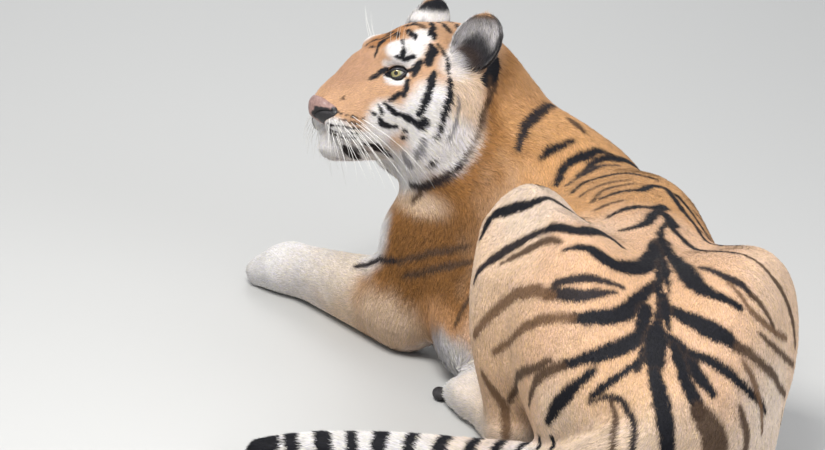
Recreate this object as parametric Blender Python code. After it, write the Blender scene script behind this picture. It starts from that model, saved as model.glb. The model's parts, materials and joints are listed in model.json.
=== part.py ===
"""A life-size tiger lying on its chest, forelegs out in front, head turned back over its left shoulder.

The whole body is one smooth field of flesh: tubes with oval sections run along the spine, the
neck and each limb, and lumps stand for the muscles, the cheeks and the toes. The field becomes a
mesh, the floor trims it flat where it rests, and thin cuts part it into the pieces that a person
would name. Metres, +Z up, +Y the way the hips point; the origin is on the floor under the belly.
"""

import math

import bmesh
import bpy
import numpy as np
import openvdb
from mathutils import Matrix, Vector

# Mesh sizes
BODY_STEP = 0.009
HEAD_STEP = 0.0032
EAR_STEP = 0.0025
TAIL_STEP = 0.005
BODY_TRIANGLES = 2780
HEAD_TRIANGLES = 2500
TAIL_TRIANGLES = 520
EAR_TRIANGLES = 270
CUT_GAP = 0.0004
FAR = 0.25

# The head's own frame: between the eyes, Y to the nose, Z up, X to the animal's right.
HEAD_AT = Vector((-0.424, 0.078, 0.506))
HEAD_FORWARD = Vector((-0.904, -0.412, 0.116))
HEAD_UP = Vector((0.0, 0.191, 0.982))
EYE_RADIUS = 0.0190
EYE_SIDE = 0.049
EYE_AHEAD = 0.006
EAR_TURNS = {-1: 1.00, 1: -1.40}
EAR_BASES = {-1: np.array([-0.093, -0.115, 0.058]), 1: np.array([0.098, -0.101, 0.059])}


def unit(vector):
    """The vector at length one, as numpy."""
    v = np.asarray(vector, float)
    return v / np.linalg.norm(v)


def frame_of(forward, up):
    """Rotation whose columns are right, forward and up."""
    y = unit(forward)
    x = unit(np.cross(y, unit(up)))
    return np.stack([x, y, np.cross(x, y)], axis=1)


HEAD_TURN = frame_of(HEAD_FORWARD, HEAD_UP)


def on_head(point):
    """A point of the head's frame in the model's frame."""
    return HEAD_TURN @ np.asarray(point, float) + np.asarray(HEAD_AT, float)


class Field:
    """Distances to the flesh on a regular grid, negative inside."""

    def __init__(self, low, count, step):
        self.low = np.asarray(low, float)
        self.step = step
        self.count = np.asarray(count, int)
        self.value = np.full(self.count, FAR, np.float32)

    @classmethod
    def over(cls, low, high, step):
        """A grid that covers a box."""
        return cls(low, np.ceil((np.asarray(high, float) - np.asarray(low, float)) / step) + 1, step)

    def block(self, low, high):
        """Slices of the grid that cover a box, and the points in them, or None where it misses."""
        first = np.maximum(np.floor((np.asarray(low) - self.low) / self.step).astype(int), 0)
        last = np.minimum(np.ceil((np.asarray(high) - self.low) / self.step).astype(int) + 1, self.count)
        if (first >= last).any():
            return None, None
        axes = [
            (self.low[k] + self.step * np.arange(first[k], last[k])).astype(np.float32) for k in range(3)
        ]
        return tuple(slice(a, b) for a, b in zip(first, last)), np.meshgrid(*axes, indexing="ij", sparse=True)

    def join(self, slices, distance, blend):
        """Smooth union of a distance into one block."""
        old = self.value[slices]
        overlap = np.maximum(blend - np.abs(old - distance), 0) / blend
        self.value[slices] = np.minimum(old, distance) - overlap * overlap * blend / 4

    def carve(self, slices, distance, blend):
        """Smooth cut of a distance out of one block."""
        old = self.value[slices]
        overlap = np.maximum(blend - np.abs(old + distance), 0) / blend
        self.value[slices] = np.maximum(old, -distance) + overlap * overlap * blend / 4

    def mesh(self, name):
        """The surface at zero as a closed mesh object."""
        grid = openvdb.FloatGrid(FAR)
        grid.copyFromArray(self.value)
        points, quads = grid.convertToQuads(0.0)
        data = bpy.data.meshes.new(name)
        data.from_pydata((points * self.step + self.low).tolist(), [], quads.tolist())
        data.validate()
        return link(name, data)


def oval_distance(across, over, along, width, height, end):
    """Near distance to an oval body from offsets along its three axes and its three radii."""
    reach = np.sqrt((across / width) ** 2 + (over / height) ** 2 + (along / end) ** 2)
    slope = np.sqrt((across / width**2) ** 2 + (over / height**2) ** 2 + (along / end**2) ** 2)
    return reach * (reach - 1) / np.maximum(slope, 1e-6)


class Lump:
    """An oval muscle: its centre, radii and, if it is turned, the columns of its own frame."""

    def __init__(self, centre, radii, turn=None, blend=0.04):
        self.centre = np.asarray(centre, float)
        self.radii = np.asarray(radii, float)
        self.turn = np.eye(3) if turn is None else np.asarray(turn, float)
        self.blend = blend

    def add(self, field, how="join"):
        """Joins or carves the lump."""
        reach = np.abs(self.turn) @ self.radii + 2 * self.blend + field.step
        slices, (x, y, z) = field.block(self.centre - reach, self.centre + reach)
        if slices is None:
            return
        d = (x - self.centre[0], y - self.centre[1], z - self.centre[2])
        own = [sum(self.turn[i, k] * d[i] for i in range(3)) for k in range(3)]
        getattr(field, how)(slices, oval_distance(*own, *self.radii), self.blend)


class Tube:
    """A limb: stations of centre, half width, rise above and drop below, on one smooth curve."""

    def __init__(self, stations, up=(0, 0, 1), blend=0.05, fine=3):
        self.rows = smooth_rows(np.asarray(stations, float), fine)
        self.up = unit(up)
        self.blend = blend

    def add(self, field, how="join"):
        """Joins or carves the tube, nearest piece first."""
        centres, sizes = self.rows[:, :3], self.rows[:, 3:6]
        reach = sizes.max() + self.blend + 2 * field.step
        slices, axes = field.block(centres.min(0) - reach, centres.max(0) + reach)
        if slices is None:
            return
        nearest = Field([a.ravel()[0] for a in axes], [a.size for a in axes], field.step)
        for start, end, at_start, at_end in zip(centres[:-1], centres[1:], sizes[:-1], sizes[1:]):
            self.piece(nearest, start, end, at_start, at_end)
        getattr(field, how)(slices, nearest.value, self.blend)

    def piece(self, nearest, start, end, at_start, at_end):
        """One straight piece between two stations."""
        reach = max(at_start.max(), at_end.max()) + self.blend + 2 * nearest.step
        slices, axes = nearest.block(np.minimum(start, end) - reach, np.maximum(start, end) + reach)
        if slices is None:
            return
        along = end - start
        length = max(np.linalg.norm(along), 1e-6)
        ahead = along / length
        side = unit(np.cross(ahead, self.up))
        over = np.cross(side, ahead)
        d = [a - s for a, s in zip(axes, start)]
        share = np.clip(sum(d[i] * ahead[i] for i in range(3)) / length, 0, 1)
        d = [d[i] - share * along[i] for i in range(3)]
        across = sum(d[i] * side[i] for i in range(3))
        height = sum(d[i] * over[i] for i in range(3))
        rest = sum(d[i] * ahead[i] for i in range(3))
        width, rise, drop = (at_start[k] + share * (at_end[k] - at_start[k]) for k in range(3))
        tall = np.where(height > 0, rise, drop)
        distance = oval_distance(across, height, rest, width, tall, np.minimum(width, tall))
        nearest.value[slices] = np.minimum(nearest.value[slices], distance)


def smooth_rows(rows, fine):
    """More rows on a Catmull-Rom curve through the given ones."""
    ends = np.vstack([2 * rows[0] - rows[1], rows, 2 * rows[-1] - rows[-2]])
    found = []
    for a, b, c, d in zip(ends[:-3], ends[1:-2], ends[2:-1], ends[3:]):
        for t in np.arange(fine) / fine:
            curve = 2 * b + (c - a) * t + (2 * a - 5 * b + 4 * c - d) * t**2 + (3 * b - a - 3 * c + d) * t**3
            found.append(curve / 2)
    found.append(rows[-1])
    return np.array(found)


# ---------------------------------------------------------------- the body's masses


def trunk_masses():
    """Spine and ribs from the rump to the breast."""
    spine = Tube(
        [
            (0.066, -0.800, 0.205, 0.060, 0.060, 0.080),
            (0.064, -0.730, 0.215, 0.115, 0.105, 0.150),
            (0.060, -0.620, 0.215, 0.150, 0.160, 0.210),
            (0.056, -0.480, 0.205, 0.160, 0.192, 0.225),
            (0.044, -0.330, 0.200, 0.180, 0.210, 0.225),
            (0.012, -0.190, 0.200, 0.192, 0.200, 0.225),
            (-0.038, -0.060, 0.205, 0.200, 0.174, 0.230),
            (-0.095, 0.030, 0.210, 0.190, 0.175, 0.222),
            (-0.160, 0.110, 0.220, 0.165, 0.175, 0.200),
            (-0.220, 0.180, 0.235, 0.120, 0.130, 0.150),
            (-0.255, 0.220, 0.245, 0.080, 0.080, 0.090),
        ],
        blend=0.03,
    )
    flank = Lump((-0.185, -0.120, 0.105), (0.130, 0.145, 0.125), blend=0.06)
    ribs = Lump((0.064, -0.155, 0.242), (0.112, 0.198, 0.127), blend=0.06)
    blade = Lump((0.048, -0.055, 0.266), (0.098, 0.120, 0.116), blend=0.06)
    return [spine, flank, ribs, blade]


def neck_masses():
    """Neck and throat from the withers to the back of the skull."""
    neck = Tube(
        [
            (-0.125, 0.095, 0.260, 0.145, 0.130, 0.140),
            (-0.190, 0.155, 0.335, 0.128, 0.115, 0.114),
            (-0.240, 0.175, 0.405, 0.116, 0.105, 0.096),
            (-0.280, 0.165, 0.465, 0.110, 0.098, 0.086),
            (-0.310, 0.140, 0.495, 0.100, 0.085, 0.080),
        ],
        blend=0.06,
    )
    return [neck]


def foreleg_frame(side):
    """Elbow, way ahead, way right, wrist and shoulder point. side is -1 for the animal's left."""
    ahead = unit((-0.66, 0.75, 0)) if side < 0 else unit((-0.50, 0.86, 0))
    right = np.array([ahead[1], -ahead[0], 0])
    elbow = np.array([-0.362, -0.015, 0.075]) if side < 0 else np.array([0.060, 0.215, 0.075])
    wrist = elbow + 0.275 * ahead + np.array([0, 0, -0.017])
    lift = 0.142 + 0.013 * side
    point = elbow + (0.030 + 0.010 * side) * ahead - side * 0.050 * right + np.array([0, 0, lift])
    return elbow, ahead, right, wrist, point


def foreleg_masses(side):
    """Shoulder, upper arm, forearm and paw."""
    elbow, ahead, right, wrist, point = foreleg_frame(side)
    top = np.array([-0.200, 0.060, 0.375]) if side < 0 else np.array([-0.085, 0.125, 0.355])
    up = np.array([0, 0, 1.0])
    shoulder = Tube(
        [
            (*top, 0.050, 0.080, 0.080),
            (*(0.55 * top + 0.45 * point - 0.03 * ahead), 0.070, 0.110, 0.110),
            (*point, 0.065, 0.070, 0.085),
        ],
        up=ahead,
        blend=0.07,
    )
    arm = Tube(
        [
            (*point, 0.065, 0.070, 0.085),
            (*(0.5 * point + 0.5 * elbow - 0.02 * ahead + 0.01 * up), 0.062, 0.090, 0.090),
            (*elbow, 0.052, 0.062, 0.075),
        ],
        up=ahead,
        blend=0.06,
    )
    forearm = Tube(
        [
            (*(elbow - 0.01 * ahead), 0.058, 0.070, 0.078),
            (*(elbow + 0.08 * ahead + 0.004 * up), 0.062, 0.070, 0.082),
            (*(elbow + 0.18 * ahead - 0.006 * up), 0.053, 0.057, 0.071),
            (*wrist, 0.049, 0.048, 0.060),
            (*(wrist + 0.06 * ahead - 0.010 * up), 0.055, 0.043, 0.050),
        ],
        blend=0.04,
    )
    masses = [shoulder, arm, forearm]
    masses += paw_masses(wrist + 0.055 * ahead, ahead, right, 0.054)
    return masses


def paw_masses(root, ahead, right, half_width):
    """The four toes and the back of one paw, spread from its root."""
    floor = np.array([root[0], root[1], 0])
    back = frame_of(ahead, (0, 0, 1))
    middle = floor + 0.010 * ahead + (0, 0, 0.040)
    masses = [Lump(middle, (half_width + 0.008, 0.060, 0.040), back, blend=0.03)]
    for place, reach in ((-0.72, 0.045), (-0.25, 0.062), (0.25, 0.062), (0.72, 0.043)):
        toe_way = unit(ahead + 0.16 * place * right)
        centre = floor + reach * toe_way + place * half_width * right + (0, 0, 0.027)
        masses.append(Lump(centre, (0.0205, 0.035, 0.030), frame_of(toe_way, (0, 0, 1)), blend=0.012))
    return masses


def hindleg_masses(side):
    """Rump, thigh, shank and foot. side is -1 for the animal's left, whose knee stands higher."""
    if side < 0:
        hip, knee = np.array([-0.025, -0.600, 0.245]), np.array([-0.160, -0.335, 0.370])
        hock, toes = np.array([-0.155, -0.520, 0.055]), np.array([-0.212, -0.318, 0.030])
    else:
        hip, knee = np.array([0.140, -0.600, 0.235]), np.array([0.233, -0.330, 0.285])
        hock, toes = np.array([0.218, -0.500, 0.060]), np.array([0.205, -0.250, 0.030])
    out = unit((side, 0.12, 0.25))
    ahead = unit((toes - hock) * (1, 1, 0))
    right = np.array([ahead[1], -ahead[0], 0])
    gluteal = Lump(hip + (0.02 * side, 0.03, 0.03), (0.10, 0.17, 0.135), blend=0.06)
    thigh = Tube(
        [
            (*(hip + (0.02 * side, -0.09, -0.06)), 0.085, 0.110, 0.130),
            (*(0.66 * hip + 0.34 * knee + 0.02 * out), 0.104, 0.148, 0.170),
            (*(0.30 * hip + 0.70 * knee + 0.02 * out), 0.094, 0.118, 0.160),
            (*knee, 0.072, 0.082, 0.100),
        ],
        blend=0.06,
    )
    shank = Tube(
        [
            (*(knee - (0, 0, 0.02)), 0.068, 0.085, 0.085),
            (*(0.5 * knee + 0.5 * hock + (0.018 * side, -0.01, 0)), 0.068, 0.100, 0.090),
            (*(hock + (0, 0.03, 0.02)), 0.046, 0.069 + 0.009 * side, 0.055),
            (*hock, 0.036, 0.050 + 0.008 * side, 0.042),
        ],
        up=(0, 1, 0.3),
        blend=0.06,
    )
    sole = Tube(
        [
            (*hock, 0.036, 0.040, 0.060),
            (*(0.5 * hock + 0.5 * toes + (0, 0, 0.002)), 0.036, 0.036, 0.050),
            (*(toes + (0, 0, 0.006)), 0.042, 0.034, 0.040),
        ],
        blend=0.035,
    )
    masses = [gluteal, thigh, shank, sole]
    if side > 0:
        masses.append(Lump((0.188, -0.530, 0.098), (0.106, 0.172, 0.125), blend=0.06))
    return masses + paw_masses(toes, ahead, right, 0.046)


TAIL_LINE = [
    (0.062, -0.760, 0.205, 0.060, 0.070, 0.075),
    (0.020, -0.822, 0.170, 0.060, 0.060, 0.066),
    (-0.030, -0.800, 0.125, 0.055, 0.055, 0.062),
    (-0.090, -0.722, 0.084, 0.049, 0.048, 0.056),
    (-0.160, -0.650, 0.056, 0.043, 0.043, 0.052),
    (-0.250, -0.605, 0.041, 0.039, 0.039, 0.049),
    (-0.370, -0.595, 0.037, 0.037, 0.037, 0.046),
    (-0.500, -0.608, 0.034, 0.034, 0.034, 0.042),
    (-0.585, -0.620, 0.027, 0.027, 0.027, 0.035),
]


def tail_masses():
    """The tail, bent to the left and laid along the floor."""
    return [Tube(TAIL_LINE, blend=0.05)]


def head_lump(centre, radii, blend=0.02, tip=0.0, yaw=0.0):
    """A lump given in the head's frame; tip raises its nose end and yaw turns it to the left."""
    turn = np.array((Matrix.Rotation(yaw, 3, "Z") @ Matrix.Rotation(tip, 3, "X")))
    return Lump(on_head(centre), radii, HEAD_TURN @ turn, blend)


def head_tube(stations, blend=0.02, fine=3):
    """A tube whose stations are given in the head's frame."""
    rows = [(*on_head(row[:3]), *row[3:]) for row in stations]
    return Tube(rows, up=HEAD_TURN[:, 2], blend=blend, fine=fine)


def head_masses():
    """Skull, face, jaw and cheeks, in the head's frame."""
    masses = [
        head_lump((0, -0.085, 0.004), (0.086, 0.108, 0.080), 0.03),
        head_lump((0, -0.046, 0.014), (0.070, 0.064, 0.070), 0.03),
        # bridge of the nose
        head_tube(
            [
                (0, -0.035, 0.006, 0.052, 0.060, 0.066),
                (0, 0.008, -0.004, 0.046, 0.060, 0.064),
                (0, 0.045, -0.024, 0.040, 0.056, 0.056),
                (0, 0.078, -0.044, 0.037, 0.042, 0.052),
                (0, 0.106, -0.062, 0.034, 0.034, 0.045),
                (0, 0.128, -0.075, 0.030, 0.021, 0.026),
            ],
            0.012,
        ),
        # nose pad
        head_lump((0, 0.124, -0.071), (0.028, 0.018, 0.014), 0.008, tip=-0.5),
        # lower jaw and chin
        head_tube(
            [
                (0, -0.060, -0.105, 0.065, 0.060, 0.058),
                (0, 0.000, -0.120, 0.056, 0.045, 0.048),
                (0, 0.050, -0.134, 0.043, 0.035, 0.040),
                (0, 0.095, -0.142, 0.033, 0.028, 0.034),
            ],
            0.015,
        ),
        # throat and lower ruff
        head_lump((0, -0.114, -0.145), (0.088, 0.074, 0.082), 0.03),
        head_lump((0, -0.120, -0.070), (0.115, 0.072, 0.120), 0.04),
    ]
    for side in (-1, 1):
        masses += [
            # whisker pad and lip
            head_lump((side * 0.033, 0.090, -0.100), (0.032, 0.042, 0.036), 0.012, -0.15, side * 0.15),
            head_lump((side * 0.044, 0.052, -0.108), (0.028, 0.052, 0.040), 0.020, 0.15, side * 0.25),
            # cheek hollow under the eye
            head_lump((side * 0.040, 0.035, -0.060), (0.034, 0.055, 0.045), 0.030, tip=-0.3, yaw=side * 0.2),
            # cheek bone
            head_lump((side * 0.058, -0.020, -0.045), (0.036, 0.070, 0.045), 0.03, tip=0.2, yaw=side * 0.35),
            # cheek muscle and ruff
            head_lump((side * 0.080, -0.085, -0.065), (0.045, 0.072, 0.095), 0.04, tip=0.2),
            head_lump((side * 0.062, -0.072, -0.128), (0.045, 0.062, 0.075), 0.04, tip=0.3),
            # brow
            head_lump((side * 0.043, 0.014, 0.031), (0.028, 0.026, 0.024), 0.025, yaw=side * 0.6),
        ]
    return masses


def ear_masses(side):
    """The outside and the hollow of one ear."""
    turn = HEAD_TURN @ np.array(
        Matrix.Rotation(EAR_TURNS[side], 3, "Z")
        @ Matrix.Rotation(0.10, 3, "X")
        @ Matrix.Rotation(side * 0.46, 3, "Y")
    )
    base = on_head(EAR_BASES[side])
    up, ahead = turn[:, 2], turn[:, 1]
    shell = Lump(base + 0.009 * up, (0.045, 0.034, 0.063), turn, blend=0.012)
    hollow = Lump(base + 0.013 * up + 0.018 * ahead, (0.0385, 0.038, 0.054), turn, blend=0.006)
    return shell, hollow


def eye_centre(side):
    """An eyeball's centre in the model's frame."""
    return on_head((side * EYE_SIDE, EYE_AHEAD, 0))


# ---------------------------------------------------------------- building


def body_field():
    """The body without head, tail, ears and eyes."""
    field = Field.over((-0.85, -0.95, -0.05), (0.48, 0.75, 0.68), BODY_STEP)
    masses = trunk_masses() + neck_masses() + head_masses()
    for side in (-1, 1):
        masses += foreleg_masses(side) + hindleg_masses(side)
    for mass in masses:
        mass.add(field)
    return field


def tail_field():
    """The tail alone, with its root inside the rump."""
    field = Field.over((-0.70, -0.95, -0.03), (0.18, -0.52, 0.33), TAIL_STEP)
    for mass in tail_masses():
        mass.add(field)
    return field


def head_field():
    """The head on a fine grid, with the neck it sits on."""
    centre = on_head((0, -0.03, -0.06))
    field = Field.over(centre - 0.30, centre + 0.30, HEAD_STEP)
    for mass in trunk_masses() + neck_masses() + head_masses():
        mass.add(field)
    for side in (-1, 1):
        turn = HEAD_TURN @ np.array(Matrix.Rotation(side * -0.88, 3, "Z"))
        opening = eye_centre(side) + 0.020 * turn[:, 1]
        Lump(opening, (0.018, 0.012, 0.0125), turn, blend=0.008).add(field, "carve")
    return field


def ear_field(side):
    """One ear as a cupped shell."""
    base = on_head(EAR_BASES[side])
    field = Field.over(base - 0.11, base + 0.11, EAR_STEP)
    shell, hollow = ear_masses(side)
    shell.add(field)
    hollow.add(field, "carve")
    return field


# ---------------------------------------------------------------- meshes


def clear_scene():
    """Removes the start-up objects."""
    for obj in list(bpy.data.objects):
        bpy.data.objects.remove(obj)


def link(name, data):
    """A new object in the scene."""
    made = bpy.data.objects.new(name, data)
    bpy.context.scene.collection.objects.link(made)
    return made


def mesh_from(bm, name):
    """Turns a bmesh into an object of triangles and frees it."""
    bmesh.ops.triangulate(bm, faces=bm.faces[:])
    data = bpy.data.meshes.new(name)
    bm.to_mesh(data)
    bm.free()
    return link(name, data)


def baked(obj):
    """The object with its modifiers applied."""
    graph = bpy.context.evaluated_depsgraph_get()
    data = bpy.data.meshes.new_from_object(obj.evaluated_get(graph))
    obj.modifiers.clear()
    old, obj.data = obj.data, data
    bpy.data.meshes.remove(old)
    return obj


def thinned(obj, triangles):
    """The object collapsed to about this many triangles."""
    modifier = obj.modifiers.new("thin", "DECIMATE")
    modifier.ratio = triangles / (2 * len(obj.data.polygons))
    modifier.use_collapse_triangulate = True
    return baked(obj)


def biggest(obj):
    """The object with only its largest closed piece kept."""
    bm = bmesh.new()
    bm.from_mesh(obj.data)
    left, pieces = set(bm.faces), []
    while left:
        piece, edge = set(), [left.pop()]
        while edge:
            face = edge.pop()
            piece.add(face)
            near = {other for side in face.edges for other in side.link_faces} & left
            left -= near
            edge.extend(near)
        pieces.append(piece)
    keep = max(pieces, key=len)
    bmesh.ops.delete(bm, geom=[face for face in bm.faces if face not in keep], context="FACES")
    bm.to_mesh(obj.data)
    bm.free()
    return obj


def combine(obj, other, how):
    """Applies one exact Boolean with another object."""
    modifier = obj.modifiers.new(how, "BOOLEAN")
    modifier.operation, modifier.solver, modifier.object = how, "EXACT", other
    return baked(obj)


def slab_box(centre, turn, half):
    """An oriented box as a helper object."""
    bm = bmesh.new()
    bmesh.ops.create_cube(bm, size=2.0)
    matrix = Matrix(np.asarray(turn).tolist()).to_4x4() @ Matrix.Diagonal((*half, 1))
    bmesh.ops.transform(bm, matrix=Matrix.Translation(centre) @ matrix, verts=bm.verts[:])
    return mesh_from(bm, "helper")


def removed(obj):
    """Deletes a helper."""
    bpy.data.objects.remove(obj)


def split_by_box(obj, name, centre, turn, half):
    """Takes what lies in the box away from the object, as a new one, and leaves a thin gap."""
    other = link(name, obj.data.copy())
    for part, how, change in ((other, "INTERSECT", -CUT_GAP / 2), (obj, "DIFFERENCE", CUT_GAP / 2)):
        box = slab_box(centre, turn, np.asarray(half) + change)
        combine(part, box, how)
        removed(box)
    return biggest(other)


def split_by_plane(obj, name, point, normal):
    """Takes what lies on the normal's side away from the object, as a new one."""
    z = unit(normal)
    x = unit(np.cross(z, (0.3, 0.5, 0.9)))
    turn = np.stack([x, np.cross(z, x), z], axis=1)
    return split_by_box(obj, name, Vector(np.asarray(point) + 2 * z), turn, (2, 2, 2))


def grown(obj, distance):
    """A copy with every point moved out along its normal."""
    other = link("helper", obj.data.copy())
    for vertex in other.data.vertices:
        vertex.co += vertex.normal * distance
    return other


def floor_trim(obj):
    """Cuts away what is under the floor."""
    box = slab_box((0, 0, -1), np.eye(3), (3, 3, 1))
    combine(obj, box, "DIFFERENCE")
    removed(box)


# ---------------------------------------------------------------- parting


NECK_AT = on_head((0, -0.180, 0.030))
NECK_WAY = HEAD_TURN @ unit((0, 0.265, 0.175))


def leg_boxes():
    """Oriented boxes that hold each leg: name, centre, turn and half sizes."""
    found = []
    for side in (-1, 1):
        name = "left" if side < 0 else "right"
        elbow, ahead, right, _, _ = foreleg_frame(side)
        turn = np.stack([right, ahead, (0, 0, 1)], axis=1)
        centre = elbow + 0.27 * ahead + side * 0.115 * right + np.array([0, 0, 0.045])
        found.append(("foreleg_" + name, centre, turn, (0.170, 0.345, 0.150)))
        x = -0.285 if side < 0 else 0.325
        found.append(("hindleg_" + name, np.array([x, -0.397, 0.25]), np.eye(3), (0.200, 0.165, 0.300)))
    return found


def part_body(body):
    """Cuts the body into neck, trunk pieces and legs."""
    for name, centre, turn, half in leg_boxes():
        leg = split_by_box(body, name, Vector(centre), turn, half)
        biggest(body)
        if name.startswith("foreleg"):
            side = -1 if name.endswith("left") else 1
            elbow, ahead, _, wrist, _ = foreleg_frame(side)
            split_by_plane(leg, name.replace("foreleg", "forearm"), elbow + 0.075 * ahead, ahead)
            forearm = bpy.data.objects[name.replace("foreleg", "forearm")]
            split_by_plane(forearm, name.replace("foreleg", "forepaw"), wrist + 0.030 * ahead, ahead)
            leg.name = name.replace("foreleg", "upper_arm")
        else:
            split_by_plane(leg, name.replace("hindleg", "hind_foot"), (0, 0, 0.085), (0, 0, -1))
            leg.name = name.replace("hindleg", "thigh")
    split_by_plane(body, "neck", (-0.200, 0.150, 0.340), (-0.60, 0.10, 0.80))
    split_by_plane(body, "rump", (0.060, -0.480, 0.2), (0, -1, 0))
    split_by_plane(body, "chest", (-0.090, 0.040, 0.2), (-0.45, 0.89, 0))
    body.name = "belly"


COATS = {
    "orange_coat": ((0.62, 0.30, 0.10), 0.9),
    "pale_coat": ((0.78, 0.62, 0.44), 0.9),
    "ringed_coat": ((0.45, 0.40, 0.33), 0.9),
    "dark_ear": ((0.10, 0.08, 0.07), 0.9),
    "eye": ((0.55, 0.52, 0.25), 0.1),
}
COAT_OF = {"fore": "pale_coat", "hind_": "pale_coat", "tail": "ringed_coat", "ear": "dark_ear", "eye": "eye"}


def coat_material(name):
    """The material of this name, made once."""
    if name in bpy.data.materials:
        return bpy.data.materials[name]
    colour, roughness = COATS[name]
    material = bpy.data.materials.new(name)
    material.use_nodes = True
    shader = material.node_tree.nodes["Principled BSDF"]
    shader.inputs["Base Color"].default_value = (*colour, 1)
    shader.inputs["Roughness"].default_value = roughness
    shader.inputs["Metallic"].default_value = 0
    return material


def finish(obj):
    """Gives one piece its material and a smooth look with sharp cuts."""
    coat = next((coat for start, coat in COAT_OF.items() if obj.name.startswith(start)), "orange_coat")
    obj.data.materials.clear()
    obj.data.materials.append(coat_material(coat))
    obj.data.shade_smooth()
    obj.data.set_sharp_from_angle(angle=math.radians(50))


def main():
    """Builds every piece."""
    clear_scene()
    head = thinned(head_field().mesh("head"), HEAD_TRIANGLES)
    body = thinned(body_field().mesh("body"), BODY_TRIANGLES)
    tail = thinned(tail_field().mesh("tail_1"), TAIL_TRIANGLES)
    removed(split_by_plane(head, "rest", NECK_AT, -NECK_WAY))
    removed(split_by_plane(body, "rest", NECK_AT, NECK_WAY))
    for obj in (body, tail):
        floor_trim(obj)
    helper = grown(tail, CUT_GAP)
    combine(body, helper, "DIFFERENCE")
    removed(helper)
    biggest(body)
    part_body(body)
    for number, (x, way) in enumerate(((-0.06, (-0.7, 0.7, 0)), (-0.28, (-1, 0, 0)), (-0.46, (-1, 0, 0))), 2):
        last = bpy.data.objects[f"tail_{number - 1}"]
        split_by_plane(last, f"tail_{number}", tail_point(x), way)
    helper = grown(head, CUT_GAP)
    for side, name in ((-1, "left"), (1, "right")):
        ear = thinned(ear_field(side).mesh("ear_" + name), EAR_TRIANGLES)
        combine(ear, helper, "DIFFERENCE")
        biggest(ear)
    removed(helper)
    for side, name in ((-1, "left"), (1, "right")):
        eye = ball("eye_" + name, eye_centre(side), EYE_RADIUS, 4)
        socket = ball("helper", eye_centre(side), EYE_RADIUS + CUT_GAP, 4)
        combine(head, socket, "DIFFERENCE")
        removed(socket)
    biggest(head)
    for obj in bpy.data.objects:
        finish(obj)


def ball(name, centre, radius, fine):
    """A sphere of triangles."""
    bm = bmesh.new()
    bmesh.ops.create_icosphere(bm, subdivisions=fine - 1, radius=radius, matrix=Matrix.Translation(centre))
    return mesh_from(bm, name)


def tail_point(x):
    """The point of the tail's line nearest to this x, past its bend."""
    row = min(smooth_rows(np.array(TAIL_LINE), 8)[12:], key=lambda r: abs(r[0] - x))
    return row[:3]


if __name__ == "__main__":
    main()
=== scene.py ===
"""Finish of a life-size tiger that lies on its chest and looks back over its left shoulder.

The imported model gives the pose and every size. One skin covers its flesh without a seam, a coat of
solid tufts follows the lie of the hair over it, and both take their markings from one painter.
Eyes, nose, lids, whiskers and pads are pieces of their own. Metres; +Z up; +Y the way the hips face.
"""

from __future__ import annotations

import json
import logging
import math
from collections.abc import Iterator, Sequence
from contextlib import contextmanager
from dataclasses import dataclass, field
from enum import Enum

import bmesh
import bpy
import numpy as np
from mathutils import Matrix, Vector
from mathutils.bvhtree import BVHTree

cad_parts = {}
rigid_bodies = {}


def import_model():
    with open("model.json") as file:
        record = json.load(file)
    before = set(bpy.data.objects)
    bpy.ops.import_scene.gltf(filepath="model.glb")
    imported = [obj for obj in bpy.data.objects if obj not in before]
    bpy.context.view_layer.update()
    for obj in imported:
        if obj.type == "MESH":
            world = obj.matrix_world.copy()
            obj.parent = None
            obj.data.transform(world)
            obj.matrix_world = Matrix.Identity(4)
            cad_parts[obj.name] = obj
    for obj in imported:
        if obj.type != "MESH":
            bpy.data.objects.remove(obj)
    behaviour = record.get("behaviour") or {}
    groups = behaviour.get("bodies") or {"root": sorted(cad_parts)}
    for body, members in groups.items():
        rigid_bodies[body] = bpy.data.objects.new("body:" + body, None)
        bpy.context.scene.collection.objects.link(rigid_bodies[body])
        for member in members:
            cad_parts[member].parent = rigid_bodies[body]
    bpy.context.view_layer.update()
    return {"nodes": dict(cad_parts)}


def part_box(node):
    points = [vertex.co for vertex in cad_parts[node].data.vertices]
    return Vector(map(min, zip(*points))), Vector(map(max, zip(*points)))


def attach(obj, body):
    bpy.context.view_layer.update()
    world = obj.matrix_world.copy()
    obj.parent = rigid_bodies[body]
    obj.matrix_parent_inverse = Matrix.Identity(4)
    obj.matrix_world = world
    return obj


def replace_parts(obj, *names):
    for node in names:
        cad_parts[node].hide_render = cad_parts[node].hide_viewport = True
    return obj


LOG = logging.getLogger("tiger")
SEED = 7
MM = 0.001
CM = 0.01
MAP = "OFBake"  # the baking map's name
PATCH = 0.003  # side of a tuft's patch on that map
STEEPEST = math.radians(72)  # between faces of one island on a map
COLOURS = "coat"  # the attribute that the finishes read
LENGTH, WIDTH, RISE, GAP = 3, 4, 5, 6  # columns of a coat's row, after its colour

Array = np.ndarray
Pair = tuple[float, float]
Triple = tuple[float, float, float]
Mesh = tuple[Array, Array]  # points and triangles
Plug = bpy.types.NodeSocket


class Side(Enum):
    """The animal's own left and right."""

    LEFT = -1
    RIGHT = 1

    @property
    def word(self) -> str:
        """The side as it stands in node names."""
        return self.name.lower()


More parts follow.
